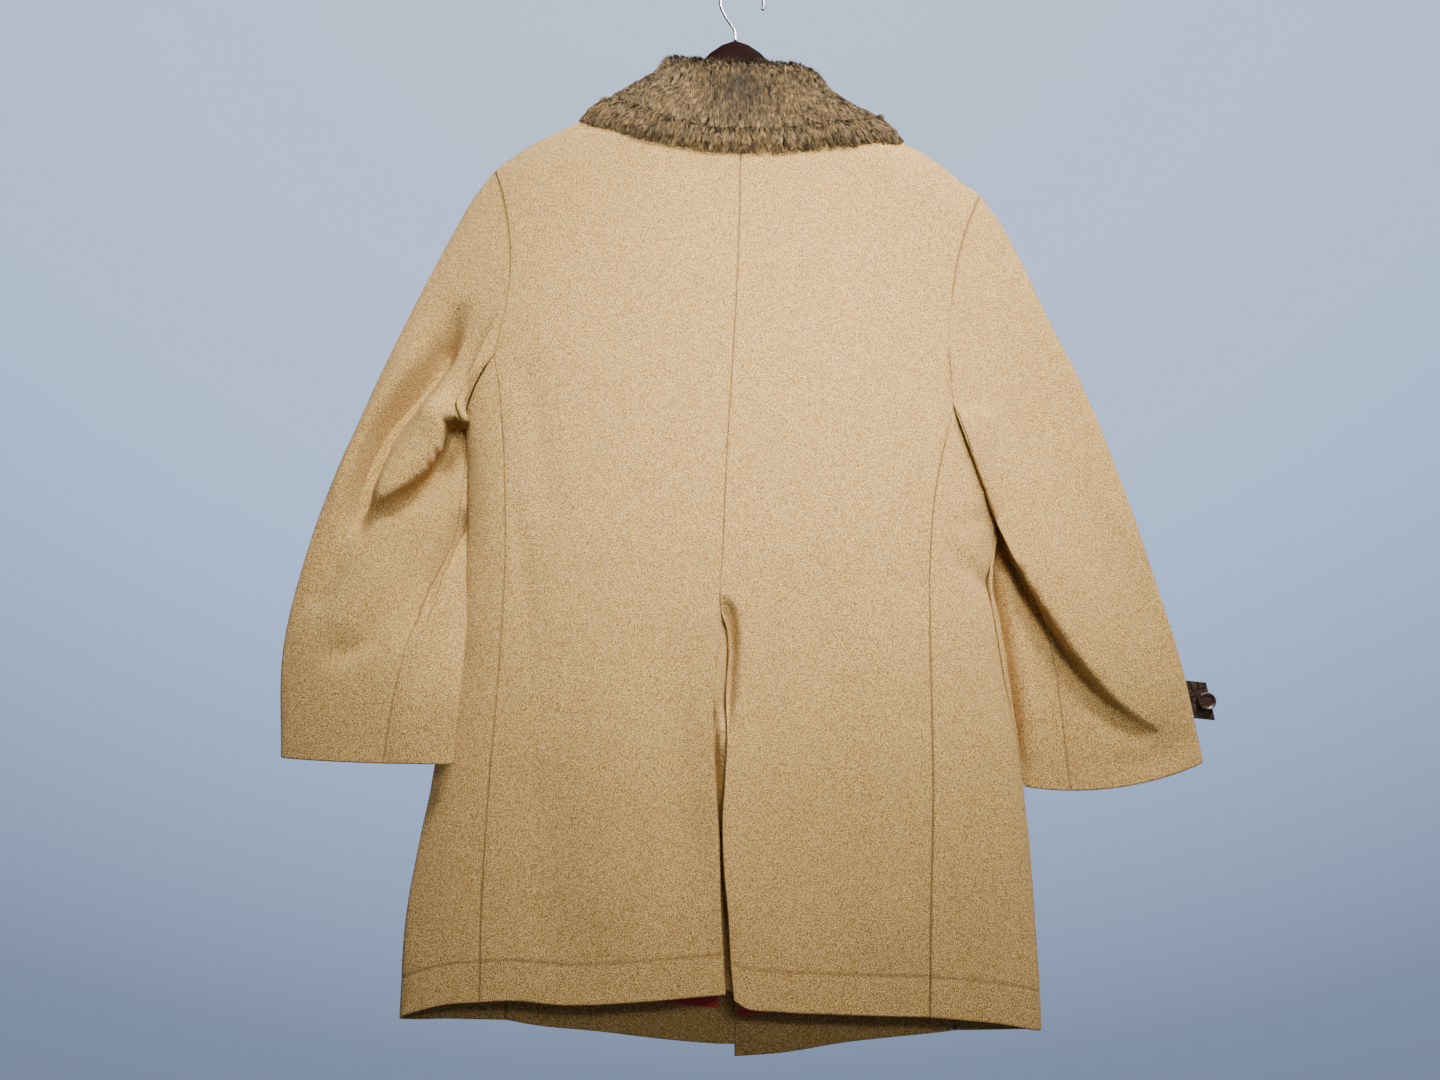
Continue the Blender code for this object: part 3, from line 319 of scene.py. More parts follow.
# ---- the collar, from the back's centre to the tip of a front:
#      neck x, neck z, edge x, edge z, rise, up x, up y, up z, which side of the shoulder line
COLLAR = {
    "left": [
        (-2, -140, 0, -197, 34, 0.00, -0.05, 0.99, -1),
        (-28, -138, -36, -195, 33, 0.00, -0.03, 0.99, -1),
        (-52, -129, -83, -186, 27, 0.10, 0.00, 0.97, -1),
        (-69, -116, -122, -173, 19, 0.25, 0.05, 0.95, -1),
        (-76, -110, -146, -164, 16, 0.40, 0.05, 0.90, -1),
        (-79, -108, -158, -149, 15, 0.48, 0.05, 0.87, 0),
        (-79, -113, -158, -168, 12, 0.60, 0.10, 0.78, 1),
        (-75, -130, -154, -196, 9, 0.80, 0.10, 0.55, 1),
        (-62, -170, -144, -235, 7, 0.90, 0.00, 0.40, 1),
        (-38, -245, -122, -300, 7, 0.92, 0.00, 0.36, 1),
        (-8, -320, -88, -362, 7, 0.92, 0.00, 0.36, 1),
        (16, -370, -42, -410, 7, 0.92, 0.00, 0.36, 1),
        (36, -419, 14, -436, 6, 0.92, 0.00, 0.36, 1)],
    "right": [
        (-2, -140, 0, -197, 34, 0.00, -0.05, 0.99, -1),
        (28, -141, 40, -196, 34, 0.00, -0.03, 0.99, -1),
        (52, -137, 83, -190, 29, -0.10, 0.00, 0.97, -1),
        (69, -131, 120, -185, 21, -0.25, 0.05, 0.95, -1),
        (75, -128, 145, -183, 17, -0.40, 0.05, 0.90, -1),
        (78, -126, 155, -171, 14, -0.48, 0.05, 0.87, 0),
        (78, -131, 156, -188, 12, -0.60, 0.10, 0.78, 1),
        (75, -148, 153, -214, 9, -0.80, 0.10, 0.55, 1),
        (70, -185, 146, -250, 7, -0.90, 0.00, 0.40, 1),
        (58, -232, 134, -296, 7, -0.92, 0.00, 0.36, 1),
        (48, -268, 118, -338, 7, -0.92, 0.00, 0.36, 1),
        (38, -300, 98, -376, 7, -0.92, 0.00, 0.36, 1),
        (29, -326, 70, -412, 6, -0.92, 0.00, 0.36, 1)],
}
FUR_DEPTH = 13.0          # thickness of the fur on the cloth
COLLAR_SEAM = 0.63        # share of the fall above the seam across the fur
UNDER_FUR = 2.0           # room between the fur collar and the cloth under it
SKIN = 6.0                # how far the fur's skin lies below its outside
TUFT = 12                 # hairs in a tuft

# ---- layers of hairs: part of the collar, count, span of its section, seed, length, lift, width
FUR_LAYERS = {
    "fur_upper_a": ("upper", 64000, (0.0, 0.975), 11, 8.5, 0.32, 0.6),
    "fur_upper_b": ("upper", 64000, (0.0, 0.975), 12, 7.5, 0.38, 0.54),
    "fur_band": ("band", 64000, (0.05, 0.93), 13, 10.0, 0.36, 0.62),
}
HAIR_GRID = (150, 48)     # rows and columns of the grids that the hairs are placed on
HAIR_BEND = 0.45          # how much a hair's start stands up more than its middle, and its end less
TUFT_PULL = (0.12, 0.22)  # share of the way by which a tuft draws the middles and tips together
COLLAR_ROWS = 160
COLLAR_COLUMNS = {"upper": 40, "band": 24}
# ---- painted shade on the fur, with a painted light rim along the collar's top where the amount is minus: x, z, half width, half height, how much darker
FUR_PAINTED_SHADE = [
    (-8, -93, 70, 4, -0.3), (-8, -103, 42, 7, 0.45), (-4, -134, 30, 13, 0.36), (-6, -156, 24, 10, 0.2),
    (-88, -178, 30, 8, 0.18), (92, -186, 26, 8, 0.16), (-150, -160, 14, 12, 0.2),
    (150, -176, 14, 12, 0.2),
]

# ---- strips behind the outer cloth: x, z of the top and bottom lines, width and height, pleats
STRIP_DEPTH = CLOTH + 0.4
UNDERLAP_CORNERS = ([(-50, -628), (12, -628)], [(-44, -968), (16, -974)])
UNDERLAP_SIZE = (62.0, 344.0)
LININGS = {
    "left": (([(-212, -930), (-120, -935), (-24, -940)], [(-214, -974), (-120, -988), (-24, -998)]),
             (190.0, 58.0),
             [(1.5, 2.2, [(-200, -962), (-100, -976), (-30, -984)]),
              (1.2, 2.0, [(-150, -952), (-90, -964), (-30, -974)])]),
    "right": (([(-6, -944), (90, -938), (180, -932)], [(-6, -1004), (90, -994), (184, -982)]),
              (190.0, 60.0),
              [(1.5, 2.2, [(0, -984), (80, -976), (170, -962)]),
               (1.2, 2.0, [(0, -992), (60, -986), (140, -972)])]),
}

# ---- metres from here on
THREAD = 0.0016           # from thread to thread of the wool
FLOOR = -1.75             # the floor's height below the hook
FLOOR_REACH = 1.85        # from the middle of the floor to its edge
CAMERA_PLACE = (-0.022239, -1.02, -0.682782)
CAMERA_TILT = 96.6        # degrees from straight down
CAMERA_LENS = 27.0        # millimetres on a sensor 36 wide
# ---- lights: name, place, aim, width and height, watts, colour, spread in degrees
LIGHTS = [
    ("key", (0.45, -1.0, 0.8), (0.0, 0.0, -0.45), (0.4, 0.3), 17.0, (1.0, 0.95, 0.88), 95.0),
    ("middle", (0.3, -1.5, -0.1), (0.06, 0.0, -0.40), (0.5, 0.4), 3.2, (1.0, 0.96, 0.9), 42.0),
    ("fill", (-1.6, -1.2, -0.1), (0.0, 0.0, -0.5), (1.0, 1.4), 2.0, (0.93, 0.96, 1.0), 180.0),
    ("rim", (1.4, 1.6, 0.6), (0.0, 0.0, -0.5), (1.0, 1.4), 12.0, (1.0, 1.0, 1.0), 180.0),
    ("front", (-1.0, 1.7, 0.5), (0.0, 0.0, -0.5), (1.2, 1.2), 20.0, (1.0, 0.98, 0.95), 180.0),
]
AIR_STRENGTH = 1.15
AIR_MIDDLE = 0.5          # place on the air's ramp of a level look to the side
AIR_SLOPES = ((1, 0.30), (2, 0.30))    # how that place moves with the look's y and z


# ------------------------------------------------------------------ tables and curves

def table(rows, keys):
    """The other columns of a table at values of its first column, on smooth curves."""
    rows = np.asarray(rows, dtype=float)
    if rows[0, 0] > rows[-1, 0]:
        rows = rows[::-1]
    known, data = rows[:, 0], rows[:, 1:]
    keys = np.clip(np.asarray(keys, dtype=float), known[0], known[-1])
    i = np.clip(np.searchsorted(known, keys) - 1, 0, len(known) - 2)
    width = np.diff(known)
    rise = np.diff(data, axis=0) / width[:, None]
    slope = np.concatenate([rise[:1], 0.5 * (rise[:-1] + rise[1:]), rise[-1:]])
    width = width[i][..., None]
    t = (keys - known[i])[..., None] / width
    start, end, step = slope[i] * width, slope[i + 1] * width, data[i + 1] - data[i]
    return (data[i] + t * start + t * t * (3 * step - 2 * start - end)
            + t ** 3 * (start + end - 2 * step))


def by_length(points):
    """A table of points with the share of the line's length as its first column."""
    points = np.array(points, dtype=float)
    share = np.concatenate([[0.0], np.cumsum(np.linalg.norm(np.diff(points, axis=0), axis=1))])
    return np.column_stack([share / share[-1], points])


def by_height(points):
    """A table of x against z."""
    return np.array(points, dtype=float)[:, ::-1]


def ease(t):
    """A soft step from 0 to 1."""
    t = np.clip(t, 0.0, 1.0)
    return t * t * (3.0 - 2.0 * t)


def unit(vectors):
    """Vectors drawn to length 1."""
    return vectors / np.maximum(np.linalg.norm(vectors, axis=-1, keepdims=True), 1e-9)


def stack(*parts):
    """Vectors from their x, y and z."""
    return np.stack(np.broadcast_arrays(*parts), axis=-1)


def near_line(points, x, z):
    """Distance from x, z to a line of points, the share of its length there and the side."""
    best = np.full(np.shape(x), 1e9)
    share, side = np.zeros(np.shape(x)), np.zeros(np.shape(x))
    count = len(points) - 1
    for i in range(count):
        ax, az = points[i][0], points[i][1]
        dx, dz = points[i + 1][0] - ax, points[i + 1][1] - az
        t = np.clip(((x - ax) * dx + (z - az) * dz) / (dx * dx + dz * dz), 0.0, 1.0)
        px, pz = x - ax - t * dx, z - az - t * dz
        away = np.hypot(px, pz)
        closer = away < best
        best = np.where(closer, away, best)
        share = np.where(closer, (i + t) / count, share)
        side = np.where(closer, dx * pz - dz * px, side)
    return best, share, side


def fold_field(folds, x, z):
    """Sum of soft folds at x, z; each fades out towards both of its ends."""
    total = np.zeros(np.shape(x))
    for strength, width, points in folds:
        away, share, _ = near_line(points, x, z)
        taper = np.minimum(1.0, 5.0 * np.minimum(share + 0.05, 1.05 - share))
        total += strength * taper * np.exp(-(away / width) ** 2)
    return total


def spread(length, step=GRID, fine=FINE, marks=()):
    """Shares from 0 to 1 along a length: fine near both ends and near marks, coarser between."""
    stops = sorted([0.0, length] + [m for m in marks if 0.0 < m < length])
    places = [0.0]
    while places[-1] < length - 1e-6:
        here = places[-1]
        near = min(abs(here + fine - stop) for stop in stops)
        move = min(step, fine + max(0.0, near - 2.5) * 0.45)
        ahead = [stop for stop in stops if stop > here + 1e-6]
        if ahead and here + move * 1.5 > ahead[0]:
            left = ahead[0] - here
            close = here + move > ahead[0] - fine * 0.4
            move = min(move, left) if close else left / 2
        places.append(here + max(move, 0.05))
    return np.clip(np.array(places) / places[-1], 0.0, 1.0)


# ------------------------------------------------------------------ the body's surface

def body_y(x, z, back):
    """y of the coat's outer surface at x, z on its back or its front."""
    left, right, back_depth, front_depth, edge_y = np.moveaxis(table(BODY, z), -1, 0)
    middle, half = 0.5 * (left + right), 0.5 * (right - left)
    across = np.minimum(np.abs((x - middle) / half), 1.0)
    full = (1.0 - across ** SQUARENESS) ** (1.0 / SQUARENESS)
    below = table(SHOULDER, x)[..., 0] - z
    reach = BACK_ROUNDING if back else FRONT_ROUNDING
    t = 1.0 - np.clip(below / reach, 0.0, 1.0)
    share = np.sqrt(np.maximum(0.0, 1.0 - t * t))
    depth = -back_depth if back else front_depth
    return edge_y * ease(below / 80.0) + depth * share * full


def body_normal(x, z, back):
    """Outward direction of the coat's surface at x, z."""
    step = 0.5
    here = body_y(x, z, back)
    slope_x = (body_y(x + step, z, back) - body_y(x - step, z, back)) / (2 * step)
    slope_z = (here - body_y(x, z - step, back)) / step
    ones = np.ones_like(here)
    return unit(stack(slope_x, -ones, slope_z) if back else stack(-slope_x, ones, -slope_z))


def ring_point(angle, z):
    """A point on the body's flat ring: 0 is the right edge, 90 the back, 180 the left edge."""
    left, right, back_depth, front_depth, edge_y = np.moveaxis(table(BODY, z), -1, 0)
    middle, half = 0.5 * (left + right), 0.5 * (right - left)
    turn = np.radians(angle)
    c, s = np.cos(turn), np.sin(turn)
    power = 2.0 / SQUARENESS
    x = middle + half * np.sign(c) * np.abs(c) ** power
    depth = np.where(s > 0, back_depth, front_depth)
    return stack(x, edge_y - np.sign(s) * depth * np.abs(s) ** power, z)


def ring_angle(x, z, back):
    """The ring's angle at x on the back or the front."""
    left, right = np.moveaxis(table(BODY, z), -1, 0)[:2]
    across = (x - 0.5 * (left + right)) / (0.5 * (right - left))
    c = np.sign(across) * np.minimum(np.abs(across), 1.0) ** (SQUARENESS / 2.0)
    angle = np.degrees(np.arccos(c))
    return angle if back else 360.0 - angle


def side_point(side, share, down):
    """A point on a side piece: share from the back seam to the front seam, down from top to hem."""
    top, hem = np.moveaxis(table(SIDE_ENDS[side], share), -1, 0)
    z = top + (hem - top) * down
    back = ring_angle(table(by_height(BACK_SEAM[side]), z)[..., 0], z, True)
    front = ring_angle(table(by_height(FRONT_SEAM[side]), z)[..., 0], z, False)
    if side == "right":
        front = front - 360.0
    angle = back + (front - back) * share
    point = ring_point(angle, z)
    along = ring_point(angle + 1.5, z) - ring_point(angle - 1.5, z)
    return point, unit(stack(-along[..., 1], along[..., 0], np.zeros_like(z)))


# ------------------------------------------------------------------ meshes

def add_mesh(name, vertices, faces, material, body="root", attributes=None, smooth=True):
    """A piece of the scene that rides on the coat, from points in millimetres."""
    mesh = bpy.data.meshes.new(name)
    vertices = np.asarray(vertices, dtype=np.float64).reshape(-1, 3) * MM
    faces = np.asarray(faces, dtype=np.int32)
    mesh.vertices.add(len(vertices))
    mesh.vertices.foreach_set("co", vertices.ravel())
    sides = faces.shape[1]
    mesh.loops.add(faces.size)
    mesh.loops.foreach_set("vertex_index", faces.ravel())
    mesh.polygons.add(len(faces))
    mesh.polygons.foreach_set("loop_start", np.arange(0, faces.size, sides, dtype=np.int32))
    mesh.polygons.foreach_set("loop_total", np.full(len(faces), sides, dtype=np.int32))
    mesh.update(calc_edges=True)
    if smooth:
        mesh.polygons.foreach_set("use_smooth", np.ones(len(faces), dtype=bool))
    for key, values in (attributes or {}).items():
        values = np.asarray(values, dtype=np.float64)
        kind = "FLOAT_VECTOR" if values.ndim == 2 else "FLOAT"
        layer = mesh.attributes.new(key, kind, "POINT")
        layer.data.foreach_set("vector" if values.ndim == 2 else "value", values.ravel())
    piece = bpy.data.objects.new(name, mesh)
    mesh.materials.append(material)
    bpy.context.scene.collection.objects.link(piece)
    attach(piece, body)
    return piece


def grid_faces(rows, cols, start=0, closed=False):
    """Quads of a grid of points, optionally with the last column joined to the first."""
    r, c = np.meshgrid(np.arange(rows - 1), np.arange(cols if closed else cols - 1), indexing="ij")
    a = start + r * cols + c
    b = start + r * cols + (c + 1) % cols
    return np.stack([a, b, b + cols, a + cols], axis=-1).reshape(-1, 4)


def outward(vertices, faces):
    """The faces, turned so that a closed body's volume is positive."""
    a, b, c, d = (vertices[faces[:, i]] for i in range(4))
    volume = np.einsum("ij,ij->", a, np.cross(b, c)) + np.einsum("ij,ij->", a, np.cross(c, d))
    return faces if volume > 0 else faces[:, ::-1]


def cut_lengths(grid):
    """Distances across and down a grid of points, from its first column and row."""
    across = np.linalg.norm(np.diff(grid, axis=1), axis=2)
    down = np.linalg.norm(np.diff(grid, axis=0), axis=2)
    across = np.concatenate([np.zeros((len(grid), 1)), np.cumsum(across, axis=1)], axis=1)
    down = np.concatenate([np.zeros((1, grid.shape[1])), np.cumsum(down, axis=0)], axis=0)
    return across, down


def flat_places(grid, turn):
    """Where the points of a grid lie in the flat cloth, whose thread runs at an angle to z."""
    c, s = math.cos(turn), math.sin(turn)
    u, v = grid[..., 0] * c + grid[..., 2] * s, grid[..., 2] * c - grid[..., 0] * s
    step = np.hypot(np.diff(u, axis=1), np.diff(grid[..., 1], axis=1)) * np.sign(np.diff(u, axis=1).mean())
    middle = grid.shape[1] // 2
    run = np.concatenate([np.zeros((len(u), 1)), np.cumsum(step, axis=1)], axis=1)
    u = u[:, middle:middle + 1] + run - run[:, middle:middle + 1]
    return stack(u, v, np.zeros_like(u))


def rolled(distance, width, depth):
    """How far a surface has sunk at a distance from a rounded edge."""
    t = 1.0 - np.clip(distance / width, 0.0, 1.0)
    return depth * (1.0 - np.sqrt(np.maximum(0.0, 1.0 - t * t)))


def flat_area(grid):
    """Area of a grid of points, in square millimetres."""
    one = np.cross(grid[:-1, 1:] - grid[:-1, :-1], grid[1:, :-1] - grid[:-1, :-1])
    two = np.cross(grid[1:, :-1] - grid[1:, 1:], grid[:-1, 1:] - grid[1:, 1:])
    return 0.5 * (np.linalg.norm(one, axis=2).sum() + np.linalg.norm(two, axis=2).sum())


def shell(name, grid, normals, material, edges, thickness=CLOTH, turn=0.0):
    """A thin sheet of cloth on a grid of points; edges says how left, right, top and bottom end."""
    across, down = cut_lengths(grid)
    reach = {"left": across, "right": across[:, -1:] - across, "top": down, "bottom": down[-1:] - down}
    sink, rise = np.zeros(across.shape), np.zeros(across.shape)
    width, depth = thickness * EDGE_ROUND[0], thickness * EDGE_ROUND[1]
    for edge, kind in edges.items():
        away = reach[edge]
        if kind == "seam":
            sink = np.maximum(sink, rolled(away, ROLL, ROLL_DEPTH))
        elif kind == "armhole":
            sink = np.maximum(sink, rolled(away, *ARMHOLE_ROLL))
        else:
            sink = np.maximum(sink, rolled(away, thickness if kind == "hem" else width, depth))
            rise = np.maximum(rise, rolled(away, width, depth))
        if kind == "hem":
            line = np.exp(-((away - HEM_DEPTH) / HEM_LINE[1]) ** 2)
            sink = np.maximum(sink, HEM_LINE[0] * line)
    outer = grid - normals * sink[..., None]
    inner = grid - normals * (thickness - rise)[..., None]
    rows, cols = across.shape
    vertices = np.concatenate([outer.reshape(-1, 3), inner.reshape(-1, 3)])
    size = rows * cols
    faces = [grid_faces(rows, cols), grid_faces(rows, cols, size)[:, ::-1]]
    rim = np.concatenate([np.arange(cols), np.arange(1, rows) * cols + cols - 1,
                          (rows - 1) * cols + np.arange(cols - 2, -1, -1),
                          np.arange(rows - 2, 0, -1) * cols])
    after = np.roll(rim, -1)
    faces.append(np.stack([rim, size + rim, size + after, after], axis=1))
    faces = outward(vertices, np.concatenate(faces))
    cut = flat_places(grid, turn).reshape(-1, 3) * MM
    # painted shade: how far the cloth sinks at seams, rounded edges and the hem line, kept as a mask that
    # darkens its colour
    seam = np.clip(sink / ROLL_DEPTH, 0.0, 1.0).ravel()
    piece = add_mesh(name + "_cloth", vertices, faces, material,
                     attributes={"cut": np.concatenate([cut, cut]),
                                 "painted_seam_shade": np.concatenate([seam, seam])})
    area, length = flat_area(grid) * MM * MM, float(down[-1].max()) * MM
    width = max(float(np.percentile(across[:, -1], 80)) * MM, 1.02 * area / length)
    return piece


# ------------------------------------------------------------------ materials

class Nodes:
    """A material under construction."""

    def __init__(self, name):
        self.material = bpy.data.materials.new(name)
        self.material.use_nodes = True
        self.tree = self.material.node_tree
        self.shader = self.tree.nodes["Principled BSDF"]

    def add(self, kind, settings=None, **inputs):
        node = self.tree.nodes.new(kind)
        for key, value in (settings or {}).items():
            setattr(node, key, value)
        for key, value in inputs.items():
            self.put(node, key.replace("_", " "), value)
        return node

    def put(self, node, key, value):
        socket = node.inputs[int(key)] if key.isdigit() else node.inputs[key]
        if hasattr(value, "links"):
            self.tree.links.new(value, socket)
        else:
            socket.default_value = value

    def math(self, operation, a, b=0.0, c=0.0):
        node = self.tree.nodes.new("ShaderNodeMath")
        node.operation = operation
        for i, value in enumerate((a, b, c)):
            self.put(node, str(i), value)
        return node.outputs[0]

    def mix(self, factor, a, b, blend="MIX"):
        node = self.tree.nodes.new("ShaderNodeMix")
        node.data_type = "RGBA"
        node.blend_type = blend
        self.put(node, "0", factor)
        self.put(node, "6", a)
        self.put(node, "7", b)
        return node.outputs[2]

    def ramp(self, value, stops):
        node = self.tree.nodes.new("ShaderNodeValToRGB")
        self.put(node, "0", value)
        elements = node.color_ramp.elements
        while len(elements) < len(stops):
            elements.new(0.5)
        for element, (place, colour) in zip(elements, stops):
            element.position = place
            element.color = colour
        return node.outputs[0]

    def noise(self, vector, scale, detail=2.0, rough=0.5):
        node = self.add("ShaderNodeTexNoise", Vector=vector, Scale=scale, Detail=detail, Roughness=rough)
        return node.outputs[0]

    def bump(self, height, distance, strength=1.0, normal=None):
        node = self.add("ShaderNodeBump", Height=height, Distance=distance, Strength=strength)
        if normal is not None:
            self.put(node, "Normal", normal)
        return node.outputs[0]

    def attribute(self, name, output="Vector"):
        return self.add("ShaderNodeAttribute", {"attribute_name": name}).outputs[output]

    def finish(self, **inputs):
        for key, value in inputs.items():
            self.put(self.shader, key.replace("_", " "), value)
        return self.material


def rgb(red, green, blue):
    """A colour given as it looks on a screen, 0 to 255."""
    def linear(value):
        value /= 255.0
        return value / 12.92 if value <= 0.04045 else ((value + 0.055) / 1.055) ** 2.4
    return (linear(red), linear(green), linear(blue), 1.0)


WOOL_DARK = rgb(118, 84, 38)
WOOL_MIDDLE = rgb(189, 150, 86)
WOOL_LIGHT = rgb(240, 207, 142)
WOOL_BROAD = rgb(185, 145, 82)
# painted shade: the colour laid into seams, along rounded edges and on the hem line
WOOL_PAINTED_SEAM_SHADE = rgb(118, 86, 48)
# ---- the air's colours: in front of the photo's camera dimmer, behind the coat and above brighter
AIR = [(0.15, rgb(34, 35, 38)), (0.5, rgb(76, 81, 90)), (0.68, rgb(120, 137, 166)),
       (0.81, rgb(182, 208, 252)), (0.95, rgb(212, 232, 255))]


def wool():
    """Camel wool in a small crepe weave, with lighter and darker threads, and painted shade in its seams,
    along its rounded edges and on the hem line.
    """
    m = Nodes("wool")
    cut = m.attribute("cut")
    drift = m.add("ShaderNodeTexNoise", Vector=cut, Scale=330.0, Detail=2.0).outputs[1]
    scaled = m.add("ShaderNodeVectorMath", {"operation": "SCALE"}, Vector=drift, Scale=0.0022)
    place = m.add("ShaderNodeVectorMath", {"operation": "ADD"})
    m.put(place, "0", cut)
    m.put(place, "1", scaled.outputs[0])
    split = m.add("ShaderNodeSeparateXYZ", Vector=place.outputs[0])
    across = m.math("MULTIPLY", split.outputs[0], 2 * math.pi / THREAD)
    along = m.math("MULTIPLY", split.outputs[1], 2 * math.pi / (THREAD * 1.1))
    dots = m.math("MULTIPLY", m.math("SINE", across), m.math("SINE", along))
    body = m.add("ShaderNodeMapping", Vector=coordinates(m), Rotation=(0.6, 0.4, 0.9)).outputs[0]
    grain = m.noise(body, 1150.0, 0.0, 0.5)
    fuzz = m.noise(body, 2900.0, 0.0, 0.5)
    weave = m.math("ADD", m.math("MULTIPLY_ADD", dots, 0.22, grain), m.math("MULTIPLY", fuzz, 0.2))
    melange = m.math("MULTIPLY_ADD", dots, 0.06, m.math("MULTIPLY_ADD", fuzz, 0.1, grain))
    broad = m.noise(body, 11.0, 3.0, 0.6)
    base = m.ramp(melange, [(0.36, WOOL_DARK), (0.55, WOOL_MIDDLE), (0.74, WOOL_LIGHT)])
    shaded = m.mix(m.math("MULTIPLY", broad, 0.22), base, WOOL_BROAD)
    # painted shade: a darker colour mixed in where the cloth sinks into seams, along rounded edges and on
    # the hem line
    painted_seam_shade = m.attribute("painted_seam_shade", "Fac")
    shaded = m.mix(m.math("MULTIPLY", painted_seam_shade, 0.75), shaded, WOOL_PAINTED_SEAM_SHADE)
    return m.finish(Base_Color=shaded, Roughness=0.9, Normal=m.bump(weave, 0.0011, 0.9),
                    Sheen_Weight=0.12, Sheen_Roughness=0.5, Sheen_Tint=(0.9, 0.76, 0.55, 1.0),
                    Specular_IOR_Level=0.15)


def lining():
    """Dull red satin."""
    m = Nodes("lining")
    cut = m.attribute("cut")
    split = m.add("ShaderNodeSeparateXYZ", Vector=cut)
    threads = m.math("SINE", m.math("MULTIPLY", split.outputs[1], 2 * math.pi / 0.0004))
    slub = m.noise(cut, 260.0, 2.0)
    colour = m.mix(slub, rgb(186, 40, 30), rgb(222, 74, 56))
    height = m.math("MULTIPLY_ADD", threads, 0.3, slub)
    return m.finish(Base_Color=colour, Roughness=0.36, Sheen_Weight=0.2,
                    Normal=m.bump(height, 0.00012, 0.5))


def fur_material(name, dark, middle, light):
    """Hairs that are dark at the root and light at the tip, each a little different."""
    m = Nodes(name)
    # tone and tip carry each hair's random tone together with the fur's painted shade and painted light
    # rim
    tone = m.attribute("tone", "Fac")
    tip = m.attribute("tip", "Fac")
    mixed = m.math("ADD", m.math("MULTIPLY", tip, 0.55), m.math("MULTIPLY", tone, 0.45))
    colour = m.ramp(mixed, [(0.08, dark), (0.5, middle), (0.95, light)])
    grey = m.noise(m.attribute("cut"), 2200.0, 2.0)
    colour = m.mix(m.math("MULTIPLY", grey, 0.25), colour, middle)
    return m.finish(Base_Color=colour, Roughness=0.6, Sheen_Weight=0.2, Specular_IOR_Level=0.25,
                    Sheen_Tint=(0.95, 0.86, 0.72, 1.0), Normal=m.bump(grey, 0.0001, 0.4))


def coordinates(m):
    """The place on an object, in metres."""
    return m.add("ShaderNodeTexCoord").outputs["Object"]


def leather():
    """Dark brown leather with the squares of an embossed crocodile print."""
    m = Nodes("leather")
    place = coordinates(m)
    cells = m.add("ShaderNodeTexVoronoi", {"feature": "DISTANCE_TO_EDGE"}, Vector=place, Scale=150.0,
                  Randomness=0.75)
    tiles = m.math("MINIMUM", m.math("MULTIPLY", cells.outputs[0], 9.0), 1.0)
    pores = m.noise(place, 2600.0, 3.0)
    colour = m.mix(tiles, rgb(11, 6, 4), rgb(46, 29, 20))
    colour = m.mix(m.math("MULTIPLY", m.noise(place, 90.0), 0.4), colour, rgb(66, 44, 31))
    height = m.math("MULTIPLY_ADD", pores, 0.15, tiles)
    rough = m.math("MULTIPLY_ADD", tiles, -0.2, 0.55)
    return m.finish(Base_Color=colour, Roughness=rough, Normal=m.bump(height, 0.0009, 1.0),
                    Specular_IOR_Level=0.3)


def button_material():
    """Dark brown horn with faint streaks."""
    m = Nodes("button")
    place = coordinates(m)
    streaks = m.add("ShaderNodeTexWave", {"wave_type": "RINGS"}, Vector=place, Scale=90.0,
                    Distortion=9.0, Detail=3.0)
    colour = m.mix(streaks.outputs[1], rgb(30, 20, 16), rgb(62, 43, 33))
    scratches = m.noise(place, 1800.0, 2.0)
    rough = m.math("MULTIPLY_ADD", scratches, 0.2, 0.18)
    return m.finish(Base_Color=colour, Roughness=rough, Normal=m.bump(scratches, 0.00005, 0.4),
                    Coat_Weight=0.3)


def wood():
    """Dark red-brown varnished wood, its grain along the hanger."""
    m = Nodes("wood")
    place = coordinates(m)
    scaled = m.add("ShaderNodeMapping", Vector=place, Scale=(4.0, 60.0, 60.0)).outputs[0]
    grain = m.noise(scaled, 6.0, 5.0, 0.6)
    lines = m.noise(scaled, 22.0, 3.0, 0.7)
    colour = m.mix(grain, rgb(9, 3, 2), rgb(30, 8, 6))
    colour = m.mix(m.math("MULTIPLY", lines, 0.3), colour, rgb(26, 8, 5))
    rough = m.math("MULTIPLY_ADD", lines, 0.15, 0.6)
    return m.finish(Base_Color=colour, Roughness=rough, Normal=m.bump(lines, 0.00015, 0.4),
                    Specular_IOR_Level=0.05)


def steel():
    """Polished wire with fine drawing marks."""
    m = Nodes("steel")
    place = coordinates(m)
    marks = m.noise(place, 1400.0, 3.0)
    stains = m.noise(place, 120.0, 3.0)
    colour = m.mix(stains, rgb(150, 152, 156), rgb(196, 198, 202))
    rough = m.math("MULTIPLY_ADD", marks, 0.18, 0.2)
    return m.finish(Base_Color=colour, Roughness=rough, Metallic=1.0, Normal=m.bump(marks, 0.00005, 0.5))


WOOL = wool()
RED_LINING = lining()
FUR = fur_material("fur", rgb(15, 10, 3), rgb(64, 49, 26), rgb(174, 144, 93))
LEATHER = leather()
BUTTON = button_material()


# ------------------------------------------------------------------ panels of the body

def patch(top, bottom, inner, outer, s, t):
    """x, z inside four boundary lines: s from inner to outer, t from top to bottom."""
    a, b = table(top, s)[None], table(bottom, s)[None]
    c, d = table(inner, t)[:, None], table(outer, t)[:, None]
    s, t = s[None, :, None], t[:, None, None]
    corners = ((1 - s) * (1 - t) * inner[0, 1:] + s * (1 - t) * outer[0, 1:]
               + (1 - s) * t * inner[-1, 1:] + s * t * outer[-1, 1:])
    return (1 - t) * a + t * b + (1 - s) * c + s * d - corners


